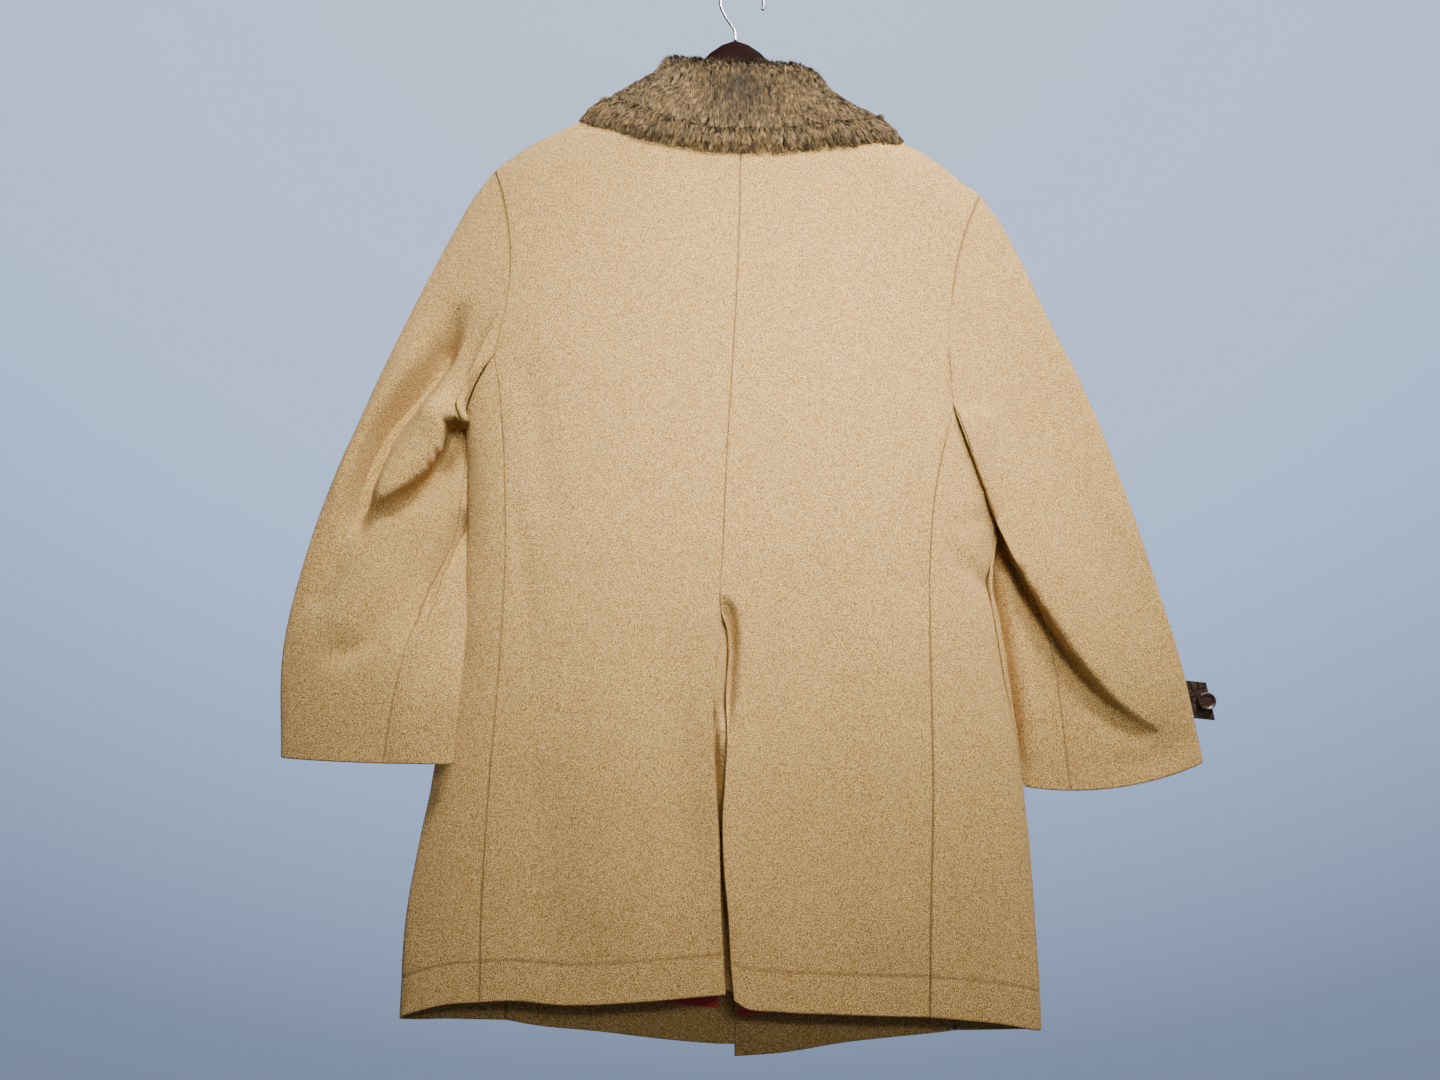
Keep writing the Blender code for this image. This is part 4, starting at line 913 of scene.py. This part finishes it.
def panel_lines(side, back):
    """The four lines round a back or a front panel, as tables by length."""
    run = SHOULDER_RUN[side]
    if back:
        top = NECK[side] + run
        outer = BACK_ARMHOLE[side] + BACK_SEAM[side][1:]
        inner, bottom = CENTRE_BACK[side], BACK_HEM[side]
    else:
        top = [NECK[side][-1]] + run
        outer = FRONT_ARMHOLE[side] + FRONT_SEAM[side][1:]
        inner, bottom = FRONT_EDGE[side], FRONT_HEM[side]
    return by_length(top), by_length(bottom), by_length(inner), by_length(outer)


def lap_depth(side, back, x):
    """How far the right front lies under the left one."""
    if back or side == "left":
        return np.zeros(np.shape(x))
    return (CLOTH + LAP) * (1.0 - ease((x - 45.0) / 60.0))


def vent_lift(side, x, z):
    """How far a back panel's edge stands off at the vent."""
    top, reach, height = VENT_LIFT[side]
    edge = table(by_height(CENTRE_BACK[side]), z)[..., 0]
    wave = 1.0 + 0.35 * np.sin((z - top) / 38.0)
    return height * wave * ease((top - z) / 70.0) * np.exp(-((x - edge) / reach) ** 2)


def wool_piece(name, grid, normals, edges, turn=0.0):
    """A sheet of the outer cloth that takes the place of the solid with the same name."""
    piece = shell(name, grid, normals, WOOL, edges, turn=turn)
    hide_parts(name)


def panel(name, side, back):
    """A back or a front panel with its creases."""
    lines = panel_lines(side, back)
    width, height = (BACK_WIDTH if back else FRONT_WIDTH), PANEL_HEIGHT
    t = spread(height, marks=(height - HEM_DEPTH,)) * (1.0 - SEAM / height)
    t = t ** ROWS_UPWARD
    s = SEAM / width + spread(width) * (1.0 - 2.5 * SEAM / width)
    xz = patch(*lines, s, t)
    x, z = xz[..., 0], xz[..., 1]
    y = body_y(x, z, back) - lap_depth(side, back, x)
    normals = body_normal(x, z, back)
    on_shoulder = np.zeros(x.shape, dtype=bool)
    on_shoulder[0] = np.abs(x[0]) > abs(NECK[side][-1][0]) - 1.0
    y = np.where(on_shoulder, -SEAM if back else SEAM, y)
    normals[..., 1] = np.where(on_shoulder, 0.0, normals[..., 1])
    normals = unit(normals)
    creases = fold_field(BACK_CREASES if back else FRONT_CREASES, x, z)
    creases *= ease((-t[:, None] + 1.0) / 0.04) * ease(t[:, None] / 0.03)
    creases *= ease(s[None] / (0.02 if back else 0.08)) * ease((1.0 - s[None]) / 0.08)
    if back:
        creases -= vent_lift(side, x, z)
    if back and side == "right":
        creases += fold_field(VENT_ROLL, x, z) * ease((VENT_ROLL_TOP[0] - z) / VENT_ROLL_TOP[1])
    grid = stack(x, y, z) - normals * creases[..., None]
    inner_edge = "seam" if back else "open"
    wool_piece(name, grid, normals,
               {"left": inner_edge, "right": "seam", "top": "seam", "bottom": "hem"})


def side_piece(name, side):
    """A side piece with its creases."""
    share = SIDE_INSET + spread(SIDE_WIDTH) * (1.0 - 2.0 * SIDE_INSET)
    down = spread(SIDE_HEIGHT, marks=(SIDE_HEIGHT - HEM_DEPTH,))
    down = SIDE_TOP_INSET + down * (1.0 - SIDE_TOP_INSET)
    point, normals = side_point(side, share[None] + 0 * down[:, None], down[:, None] + 0 * share[None])
    creases = fold_field(SIDE_CREASES, point[..., 0], point[..., 2])
    creases *= ease(share[None] / 0.15) * ease((1 - share[None]) / 0.15)
    creases *= ease(down[:, None] / 0.06) * ease((1 - down[:, None]) / 0.08)
    grid = point - normals * creases[..., None]
    wool_piece(name, grid, normals,
               {"left": "seam", "right": "seam", "top": "seam", "bottom": "hem"})


# ------------------------------------------------------------------ sleeves

def finer_top(rows):
    """The points of an edge with more of them near its top, where the body is most rounded."""
    line = by_length(rows)
    shares = np.concatenate([line[1, 0] * np.linspace(0.0, 0.95, 12) ** 2, line[1:, 0]])
    return np.moveaxis(table(line, shares), -1, 0)


def armhole(side):
    """The armhole's line round from the shoulder point by the back to the pit, then by the front."""
    x, z = finer_top(BACK_ARMHOLE[side])
    back = np.concatenate([stack(x, body_y(x, z, True), z), body_normal(x, z, True)], axis=1)
    shares = np.linspace(0.1, 0.5, 6)
    below = np.concatenate(side_point(side, shares, np.zeros(6)), axis=1)
    back = np.concatenate([back, below])
    shares = np.linspace(0.5, 0.9, 6)
    below = np.concatenate(side_point(side, shares, np.zeros(6)), axis=1)
    x, z = finer_top(FRONT_ARMHOLE[side])[:, ::-1]
    front = np.concatenate([stack(x, body_y(x, z, False), z), body_normal(x, z, False)], axis=1)
    front = np.concatenate([below, front])
    top_x, top_z = BACK_ARMHOLE[side][0]
    top = (top_x, 0.0, top_z, 0.5 * math.copysign(1, top_x), 0.0, 0.86)
    back[0] = top
    front[-1] = top
    return arm_table(back), arm_table(front)


def arm_table(line):
    """An armhole's half as a table by the share of its length."""
    gaps = np.linalg.norm(np.diff(line[:, :3], axis=0), axis=1)
    share = np.concatenate([[0.0], np.cumsum(gaps)])
    return np.column_stack([share / share[-1], line])


def sleeve_ring(side, angle, way):
    """A point on a sleeve before its folds: angle 0 outer edge, 90 back, 180 inner, 270 front."""
    row = np.moveaxis(table(SLEEVE[side], way), -1, 0)
    outer_x, outer_z, inner_x, inner_z, outer_y, inner_y, half = row[:7]
    turn = np.radians(angle)
    share = 0.5 * (1.0 - np.cos(turn))
    s = np.sin(turn)
    y = outer_y + (inner_y - outer_y) * share - np.sign(s) * half * np.abs(s) ** 0.85
    down = 1.0 - np.maximum(1.0 - share, 0.0) ** (1.0 + RING_SAG * (1.0 - way) ** 2)
    return stack(outer_x + (inner_x - outer_x) * share, y, outer_z + (inner_z - outer_z) * down)


def loop_point(loops, angle):
    """The armhole's columns at the angles of a sleeve."""
    share = angle / 180.0
    return np.where((angle <= 180.0)[..., None], table(loops[0], np.minimum(share, 1.0)),
                    table(loops[1], np.maximum(share - 1.0, 0.0)))


def edge_folds(side, point, upper, way):
    """How the folds with hanging edges move the points on the back of a sleeve."""
    x, z = point[..., 0], point[..., 2]
    move = np.zeros(point.shape)
    for stands, reach_up, reach_down, share_up, rows in EDGE_FOLDS[side]:
        away, along, across = near_line(rows, x, z)
        keys = np.linspace(0.0, 1.0, len(rows))
        height = np.interp(along, keys, [row[2] for row in rows])
        soft = np.interp(along, keys, [row[3] for row in rows])
        signed = away * np.sign(across) * stands
        if side == "right":
            signed = np.where(way < TUCKED, np.where(upper, away, -away), signed)
        part = ease(0.5 + 0.5 * signed / (soft * np.where(signed < 0, 2.4, 0.6)))
        up = -share_up * height * (1.0 - ease(signed / reach_up))
        down = (1.0 - share_up) * height * (1.0 - ease(-signed / reach_down))
        move[..., 1] += down + (up - down) * part
        over = FOLD_OVERHANG[side] * height * np.exp(-(signed / (2.2 * soft)) ** 2) * part
        first, last = np.array(rows[0][:2], dtype=float), np.array(rows[-1][:2], dtype=float)
        run = unit(last - first)
        move[..., 0] += over * run[1] * stands
        move[..., 2] -= over * run[0] * stands
    return move


def back_folds(side, point, upper, way):
    """How far the folds on the back of a sleeve move its points, as vectors."""
    move = edge_folds(side, point, upper, way)
    move[..., 1] += fold_field(SLEEVE_FOLDS[side], point[..., 0], point[..., 2])
    return move


def clear_of_body(point, upper, way, on_back):
    """Keeps the back of a sleeve in front of the body's back."""
    left, right = np.moveaxis(table(BODY, point[..., 2]), -1, 0)[:2]
    inside = ease((point[..., 0] - left) / 3.0 + 1.0) * ease((right - point[..., 0]) / 3.0 + 1.0)
    inside *= ease((POUCH[0][2] + 6.0 - point[..., 2]) / 22.0)
    room = np.where(upper, OVER_BODY[0], OVER_BODY[1]) * (1.0 - np.exp(-way / 0.02))
    limit = body_y(point[..., 0], point[..., 2], True) - room
    sink = np.maximum(point[..., 1] - limit, 0.0) * inside
    point[..., 1] -= np.where(on_back, sink, 0.0)


def sleeve_base(side, angle, way, loops):
    """Points on a sleeve before its folds, joined to the armhole's line at the top."""
    point = sleeve_ring(side, angle, way)
    low = ease((np.minimum(angle, 360.0 - angle) - 85.0) / 50.0)
    seam = loop_point(loops, angle)
    fade = np.maximum(0.0, 1.0 - way / SLEEVE_MERGE) ** 2
    fades = stack(*[fade + (np.exp(-way / reach) - fade) * low for reach in PIT_MERGE])
    point = point + (seam[..., :3] - sleeve_ring(side, angle, np.zeros_like(way))) * fades
    stand = STAND_OFF * low * (1.0 - np.exp(-way / 0.012)) * (1.0 - ease((way - 0.08) / 0.25))
    return point + seam[..., 3:6] * stand[..., None]


def sleeve_grid(side, angle, way, loops):
    """Points on a sleeve with its folds."""
    angle, way = np.broadcast_arrays(np.asarray(angle, float), np.asarray(way, float))
    point = sleeve_base(side, angle, way, loops)
    seam = table(SLEEVE[side], way)[..., 7]
    upper = angle <= seam + 0.5
    on_back = (angle > 0) & (angle < 180)
    if side == "right":
        pull = table(POUCH, way) - sleeve_base(side, seam, way, loops)[..., [0, 2]]
        pull *= (1.0 - ease((way - 0.40) / 0.14))[..., None]
        over = np.where(angle <= seam, ease(1.0 - (seam - angle) / POUCH_SPAN[0]),
                        1.0 - ease((angle - seam) / POUCH_SPAN[1]))
        point[..., 0] += np.where(on_back, pull[..., 0] * over, 0.0)
        point[..., 2] += np.where(on_back, pull[..., 1] * over, 0.0)
    point[..., 2] -= CUFF_SAG[side] * np.abs(np.sin(np.radians(angle))) ** 2 * way ** 8
    side_fade = ease(np.minimum(angle, 180.0 - angle) / 25.0) * ease(way / 0.06)
    point += np.where(on_back, side_fade, 0.0)[..., None] * back_folds(side, point, upper, way)
    if side == "right":
        clear_of_body(point, upper, way, on_back)
    hidden = fold_field(HIDDEN_SLEEVE_FOLDS[side], point[..., 0], point[..., 2])
    front_fade = ease((angle - 190.0) / 25.0) * ease((350.0 - angle) / 25.0) * ease(way / 0.12)
    point[..., 1] -= np.where(angle > 180, front_fade, 0.0) * hidden
    return point


def grid_normals(grid, closed=False):
    """Directions square to a grid of points, from its neighbours."""
    along = np.gradient(grid, axis=0)
    if closed:
        wrapped = np.concatenate([grid[:, -2:-1], grid, grid[:, 1:2]], axis=1)
        across = (wrapped[:, 2:] - wrapped[:, :-2]) / 2.0
    else:
        across = np.gradient(grid, axis=1)
    return unit(np.cross(across, along))


def calm(normals, rounds):
    """Directions on a closed ring of columns, evened out with their neighbours."""
    ring = normals[:, :-1]
    for _ in range(rounds):
        beside = np.roll(ring, 1, axis=1) + np.roll(ring, -1, axis=1)
        padded = np.concatenate([ring[:1], ring, ring[-1:]])
        ring = unit(ring * 2.0 + beside + padded[:-2] + padded[2:])
    return np.concatenate([ring, ring[:, :1]], axis=1)


def sleeve(side):
    """The two pieces of a sleeve: the wide upper one and the narrow one under the arm."""
    loops = armhole(side)
    ways = spread(SLEEVE_LENGTH, SLEEVE_STEP)
    seam = table(SLEEVE[side], ways)[:, 7]
    back = spread(SLEEVE_BACK, SLEEVE_STEP)
    under = spread(SLEEVE_UNDER, SLEEVE_STEP)
    front = spread(SLEEVE_FRONT)
    angles = np.concatenate([
        back[None] * seam[:, None],
        (seam[:, None] + (FRONT_SLEEVE_SEAM - seam[:, None]) * under[None])[:, 1:],
        (FRONT_SLEEVE_SEAM + (360.0 - FRONT_SLEEVE_SEAM) * front[None] + 0 * seam[:, None])[:, 1:]],
        axis=1)
    grid = sleeve_grid(side, angles % 360.0, ways[:, None], loops)
    grid[:, -1] = grid[:, 0]
    normals = grid_normals(grid, closed=True)
    if np.sum(normals * (grid - grid.mean(axis=1, keepdims=True))) < 0:
        normals = -normals
    normals = calm(normals, 6)
    first, second = len(back) - 1, len(back) + len(under) - 2
    body = loop_point(loops, angles[0] % 360.0)[..., 3:6]
    low = ease((np.minimum(angles[0], 360.0 - angles[0]) - 80.0) / 40.0)[:, None]
    near = np.exp(-ways / 0.012)[:, None, None]
    top = unit(body * (1.0 - low) + normals[0] * low)
    normals = unit(normals * (1.0 - near) + top[None] * near)
    ends = {"left": "seam", "right": "seam", "top": "armhole", "bottom": "open"}
    tilt = math.radians(SLEEVE_TILT if side == "left" else -SLEEVE_TILT)
    columns = {"under": np.arange(first, second + 1),
               "upper": np.concatenate([np.arange(second, grid.shape[1] - 1), np.arange(0, first + 1)])}
    for part, order in columns.items():
        cut = grid[:, order].copy()
        for edge, inside in ((0, 1), (-1, -2)):
            cut[:, edge] += unit(cut[:, inside] - cut[:, edge]) * SLEEVE_GAP
        wool_piece(part + "_sleeve_" + side, cut, normals[:, order], ends, tilt)


# ------------------------------------------------------------------ collar

def below_shoulder(x, z, facing):
    """Depth below the shoulder line: minus on the back, plus on the front, 0 on the line."""
    return (table(SHOULDER, x)[..., 0] - z) * facing


def collar_station(side, share):
    """Neck x and depth, edge x and depth, rise and upward direction at stations of the collar."""
    rows = np.array(COLLAR[side], dtype=float)
    neck_x, neck_z, edge_x, edge_z, rise, up_x, up_y, up_z, facing = rows.T
    known = np.column_stack([
        np.linspace(0.0, 1.0, len(rows)), neck_x, below_shoulder(neck_x, neck_z, facing),
        edge_x, below_shoulder(edge_x, edge_z, facing), rise, up_x, up_y, up_z])
    return np.moveaxis(table(known, share), -1, 0)


def surface_at(x, depth):
    """Point and direction on the body at a depth below the shoulder line, minus on the back."""
    z = table(SHOULDER, x)[..., 0] - np.abs(depth)
    back = depth < 0
    normal = np.where(back[..., None], body_normal(x, z, True), body_normal(x, z, False))
    normal[..., 1] *= ease(np.abs(depth) / 2.0)
    y = np.where(back, body_y(x, z, True), body_y(x, z, False))
    return stack(x, y, z), unit(normal)


class Collar:
    """The two frames of the collar at many stations: the stand above the neck and the fall."""

    def __init__(self, side, share):
        self.share = np.asarray(share, dtype=float)
        station = collar_station(side, self.share)
        self.neck_x, self.neck_depth, self.edge_x, self.edge_depth, self.rise = station[:5]
        self.up = unit(np.moveaxis(station[5:8], 0, -1))
        self.neck, self.neck_out = surface_at(self.neck_x, self.neck_depth)
        self.thick = FUR_DEPTH * (1.0 - 0.35 * ease((self.share - 0.93) / 0.07))
        self.inside = np.where(self.rise > 10, -2.2, -2.2 + 3.0 * ease((10.0 - self.rise) / 3.0))

    def above(self, part, out):
        """Points on the stand: share of its height, and distance out from it."""
        height = (2.8 + (self.rise - 2.8) * part)[..., None]
        return self.neck + self.up * height + self.neck_out * np.asarray(out)[..., None]

    def fall(self, part, out):
        """Points over the cloth: share of the way from neck to edge, and distance out from it."""
        x = self.neck_x + (self.edge_x - self.neck_x) * part
        point, normal = surface_at(x, self.neck_depth + (self.edge_depth - self.neck_depth) * part)
        return point + normal * np.asarray(out)[..., None]

    def upper(self, sunk):
        """Cross-section of the part above the seam; sunk is how far it lies below the fur's outside."""
        thick, inside, full = self.thick - sunk, self.inside, np.ones_like(self.thick)
        return np.stack([
            self.above(0.0, inside), self.above(0.5, inside - 0.8 + sunk * 0.1),
            self.above(0.88 - 0.02 * sunk, inside + 1.5 + sunk * 0.2),
            self.above(1.0 - 0.03 * sunk, 4.0 * full),
            self.above(0.98 - 0.03 * sunk, thick * 0.75), self.above(0.7, thick + 1.0),
            self.above(0.3, thick + 1.6), self.fall(0.06, thick + 1.2), self.fall(0.34, thick + 0.5),
            self.fall(COLLAR_SEAM - 0.012, thick), self.fall(COLLAR_SEAM - 0.007, thick - 2.0)], axis=-2)

    def band(self, sunk):
        """Cross-section of the band below the seam."""
        thick, full = self.thick - sunk, np.ones_like(self.thick)
        return np.stack([
            self.fall(COLLAR_SEAM + 0.007, thick - 2.0), self.fall(COLLAR_SEAM + 0.012, thick),
            self.fall(0.82, thick - 0.5),
            self.fall(0.96 - 0.006 * sunk, np.maximum(thick - 3.0, UNDER_FUR + 2)),
            self.fall(1.0 - 0.008 * sunk, np.maximum(thick * 0.5, UNDER_FUR + 1.0)),
            self.fall(0.985 - 0.008 * sunk, (UNDER_FUR + 0.6) * full), self.fall(0.93, UNDER_FUR * full)],
            axis=-2)


def section_curve(points, count):
    """Evenly spaced points on rounded lines through the rows of each cross-section."""
    gaps = np.linalg.norm(np.diff(points, axis=1), axis=2).mean(axis=0)
    share = np.concatenate([[0.0], np.cumsum(gaps)]) / gaps.sum()
    places = np.linspace(0.0, 1.0, count)
    i = np.clip(np.searchsorted(share, places) - 1, 0, len(share) - 2)
    t = ((places - share[i]) / (share[i + 1] - share[i]))[None, :, None]
    line = points[:, i] * (1.0 - t) + points[:, i + 1] * t
    for _ in range(max(2, count // 12)):
        line[:, 1:-1] = 0.25 * line[:, :-2] + 0.5 * line[:, 1:-1] + 0.25 * line[:, 2:]
    return line


def collar_grid(part, sunk, rows, cols):
    """A part of the collar from the tip of the left front round the neck to the right one."""
    shares = np.linspace(0.0, 1.0, rows)
    halves = [section_curve(getattr(Collar(side, order), part)(sunk), cols)
              for side, order in (("left", shares[::-1]), ("right", shares[1:]))]
    return np.concatenate(halves)


def collar_skin(name, part):
    """The form that the hairs grow from, closed round each cross-section and open at both ends."""
    rows, cols = COLLAR_ROWS, COLLAR_COLUMNS[part]
    outer = collar_grid(part, SKIN, rows, cols)
    shares = np.linspace(0.0, 1.0, rows)
    places = (COLLAR_SEAM - 0.01, 0.3, 0.03) if part == "upper" else (0.85, 0.74, COLLAR_SEAM + 0.01)
    low = np.full(rows, UNDER_FUR)
    halves = [np.stack([Collar(side, order).fall(place, low[:len(order)]) for place in places], axis=1)
              for side, order in (("left", shares[::-1]), ("right", shares[1:]))]
    ring = np.concatenate([outer, np.concatenate(halves)], axis=1)
    count, across = ring.shape[:2]
    vertices = np.concatenate([ring.reshape(-1, 3), ring[:1].mean(axis=1), ring[-1:].mean(axis=1)])
    faces = grid_faces(count, across, closed=True)
    faces = outward(vertices, faces)
    tone = np.full(len(vertices), 0.25)
    piece = add_mesh(name, vertices, faces, FUR,
                     attributes={"cut": vertices * MM, "tone": tone, "tip": tone})
    return piece


def fur_shade(point):
    """How much darker the fur's painted shade makes it at points, and lighter where a minus amount paints
    a light rim.
    """
    total = np.zeros(len(point))
    for x, z, wide, high, strength in FUR_PAINTED_SHADE:
        away = ((point[:, 0] - x) / wide) ** 2 + ((point[:, 2] - z) / high) ** 2
        total += strength * np.exp(-away) * (point[:, 1] < 5.0)
    return total


def strands(name, part, count, span, seed, length, lift, width):
    """Many short bent hairs in small tufts on a part of the collar, as one mesh."""
    random = np.random.default_rng(seed)
    skin, hair = (collar_grid(part, sunk, *HAIR_GRID) for sunk in (SKIN, 0.0))
    first, last = (int(place * (HAIR_GRID[1] - 1)) for place in span)
    skin, hair = skin[:, first:last + 1], hair[:, first:last + 1]
    down_grid = unit(np.gradient(skin, axis=1))
    size = np.linalg.norm(np.cross(skin[1:, :-1] - skin[:-1, :-1], skin[:-1, 1:] - skin[:-1, :-1]), axis=2)
    cell = random.choice(size.size, count, p=(size / size.sum()).ravel())
    r, c = np.unravel_index(cell, size.shape)
    u, v = random.random((2, count, 1))

    def pick(grid):
        """A grid's values at the places of the hairs."""
        return ((grid[r, c] * (1 - u) + grid[r + 1, c] * u) * (1 - v)
                + (grid[r, c + 1] * (1 - u) + grid[r + 1, c + 1] * u) * v)

    root = pick(skin)
    out, down = unit(pick(hair) - root), unit(pick(down_grid))
    along = unit(np.cross(out, down))
    tufts = count // TUFT
    tree = KDTree(tufts)
    for i in range(tufts):
        tree.insert(Vector(root[i]), i)
    tree.balance()
    tuft = np.array([tree.find(Vector(place))[1] for place in root])
    tuft_size = random.normal(0.0, 1.0, (4, tufts))
    sway = 0.22 * tuft_size[0][tuft] + random.normal(0.0, 0.10, count)
    reach = length * (1.0 + 0.10 * tuft_size[1][tuft] + 0.10 * random.normal(0.0, 1.0, count))
    rise = lift * (1.0 + 0.18 * tuft_size[2][tuft] + 0.10 * random.normal(0.0, 1.0, count))
    start = unit(out * (rise + HAIR_BEND)[:, None] + down + along * sway[:, None])
    end = unit(out * (rise - HAIR_BEND)[:, None] + down + along * (sway * 1.3)[:, None])
    middle = root + start * (reach * 0.5)[:, None]
    tip = middle + end * (reach * 0.5)[:, None]
    tip += (tip[tuft] - tip) * TUFT_PULL[1]
    middle += (middle[tuft] - middle) * TUFT_PULL[0]
    flat = unit(np.cross(tip - root, out + along * random.normal(0.0, 0.6, (count, 1))))
    half = (width * (0.7 + 0.6 * random.random(count)))[:, None] * 0.5
    vertices = np.stack([root, middle - flat * half, middle + flat * half, tip], axis=1).reshape(-1, 3)
    start_at = np.arange(count)[:, None] * 4
    faces = np.concatenate([start_at + np.array([[0, 2, 1]]), start_at + np.array([[1, 2, 3]])])
    # painted shade: hairs at the shaded places get a lower tone and darker tips, and the minus entry
    # paints a light rim along the collar's top
    shade = fur_shade(root)
    tone = 0.48 + 0.22 * tuft_size[3][tuft] + random.normal(0.0, 0.24, count) - shade
    tips = np.array([0.0, 0.55, 0.55, 1.0]) * (1.0 - 0.75 * shade[:, None])
    piece = add_mesh(name, vertices, faces, FUR, smooth=False,
                     attributes={"cut": vertices * MM, "tone": np.repeat(np.clip(tone, 0, 1), 4),
                                 "tip": tips.ravel()})


# ------------------------------------------------------------------ small pieces

def strip_behind(name, side, back, corners, size, material, thickness, pleats):
    """A flat piece inside the body's wall: corners are x, z of the top and bottom lines."""
    top, bottom = by_length(corners[0]), by_length(corners[1])
    s, t = spread(size[0]), spread(size[1])
    xz = (1 - t)[:, None, None] * table(top, s)[None] + t[:, None, None] * table(bottom, s)[None]
    x, z = xz[..., 0], xz[..., 1]
    normals = body_normal(x, z, back)
    y = body_y(x, z, back) - lap_depth(side, back, x)
    creases = fold_field(pleats, x, z)
    grid = stack(x, y, z) - normals * (STRIP_DEPTH + creases)[..., None]
    edges = dict.fromkeys(("left", "right", "top", "bottom"), "open")
    piece = shell(name, grid, normals, material, edges, thickness)
    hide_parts(name)
    return piece


def build_body():
    """The outer cloth, the sleeves and the strips behind them."""
    for side in SIDES:
        panel("back_" + side, side, True)
        panel("front_" + side, side, False)
        side_piece("side_" + side, side)
        sleeve(side)
    underlap = strip_behind("vent_underlap", "left", True, UNDERLAP_CORNERS, UNDERLAP_SIZE, WOOL,
                            CLOTH, UNDERLAP_SINK + BACK_CREASES)
    for side in SIDES:
        corners, size, pleats = LININGS[side]
        strip = strip_behind("lining_" + side, side, False, corners, size, RED_LINING, LINING, pleats)


def build_collar():
    """The two forms of the fur collar and the hairs on them."""
    upper = collar_skin("collar_skin", "upper")
    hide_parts("collar")
    band = collar_skin("collar_band_skin", "band")
    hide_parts("collar_band")
    for name, layer in FUR_LAYERS.items():
        strands(name, *layer)


def finish_cad_nodes():
    """Materials of the nodes whose shapes are carried over."""
    looks = {"hanger": wood(), "hanger_hook": steel()}
    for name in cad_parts:
        if name.startswith("cuff_tab"):
            looks[name] = LEATHER
        if "button" in name:
            looks[name] = BUTTON
    for name, material in looks.items():
        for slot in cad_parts[name].material_slots:
            slot.material = material


# ------------------------------------------------------------------ camera, light and floor

def add_light(name, place, aim, size, power, colour, spread_angle):
    """A rectangular light that looks from its place at its aim."""
    lamp = bpy.data.lights.new(name, "AREA")
    lamp.shape = "RECTANGLE"
    lamp.size, lamp.size_y = size
    lamp.spread = math.radians(spread_angle)
    lamp.energy = power
    lamp.color = colour
    light = bpy.data.objects.new(name, lamp)
    light.location = place
    direction = np.array(aim, dtype=float) - np.array(place, dtype=float)
    light.rotation_euler = Vector(direction).to_track_quat("-Z", "Y").to_euler()
    bpy.context.scene.collection.objects.link(light)


def air():
    """The world's colour: a ramp along a slanted direction."""
    world = bpy.data.worlds.new("world")
    world.use_nodes = True
    tree = world.node_tree
    background = tree.nodes["Background"]
    direction = tree.nodes.new("ShaderNodeTexCoord").outputs["Generated"]
    parts = tree.nodes.new("ShaderNodeSeparateXYZ")
    tree.links.new(direction, parts.inputs[0])
    place = None
    for axis, slope in AIR_SLOPES:
        share = tree.nodes.new("ShaderNodeMath")
        share.operation = "MULTIPLY_ADD"
        tree.links.new(parts.outputs[axis], share.inputs[0])
        share.inputs[1].default_value = slope
        if place is None:
            share.inputs[2].default_value = AIR_MIDDLE
        else:
            tree.links.new(place, share.inputs[2])
        place = share.outputs[0]
    ramp = tree.nodes.new("ShaderNodeValToRGB")
    tree.links.new(place, ramp.inputs[0])
    tree.links.new(ramp.outputs[0], background.inputs["Color"])
    elements = ramp.color_ramp.elements
    for _ in AIR[2:]:
        elements.new(0.5)
    for element, (height, colour) in zip(elements, AIR):
        element.position, element.color = height, colour
    background.inputs["Strength"].default_value = AIR_STRENGTH
    bpy.context.scene.world = world


def studio():
    """The photo's camera, the lights, the air and the floor."""
    scene = bpy.context.scene
    camera_data = bpy.data.cameras.new("camera")
    camera_data.lens = CAMERA_LENS
    camera_data.sensor_width = 36.0
    camera_data.clip_end = 60.0
    camera = bpy.data.objects.new("camera", camera_data)
    camera.location = CAMERA_PLACE
    camera.rotation_euler = (math.radians(CAMERA_TILT), 0.0, 0.0)
    scene.collection.objects.link(camera)
    scene.camera = camera
    air()
    for light in LIGHTS:
        add_light(*light)
    floor()


def floor():
    """A plain grey round floor below the coat."""
    m = Nodes("floor")
    speck = m.noise(coordinates(m), 30.0, 3.0)
    look = m.finish(Base_Color=m.mix(speck, rgb(112, 109, 106), rgb(122, 119, 116)), Roughness=0.95,
                    Normal=m.bump(speck, 0.002, 0.3))
    turns = np.linspace(0.0, 2 * math.pi, 96, endpoint=False)
    radius = np.array([0.05, 0.6, 1.2, FLOOR_REACH - 0.01, FLOOR_REACH, FLOOR_REACH])[:, None]
    level = np.array([0.0, 0.0, 0.0, 0.0, -0.003, -0.02])[:, None] + FLOOR
    ring = stack(radius * np.cos(turns), radius * np.sin(turns), level)
    faces = grid_faces(*ring.shape[:2], closed=True).tolist() + [list(range(95, -1, -1))]
    mesh = bpy.data.meshes.new("floor")
    mesh.from_pydata(ring.reshape(-1, 3).tolist(), [], faces)
    mesh.materials.append(look)
    stage = bpy.data.objects.new("floor", mesh)
    bpy.context.scene.collection.objects.link(stage)


build_body()
build_collar()
finish_cad_nodes()
studio()
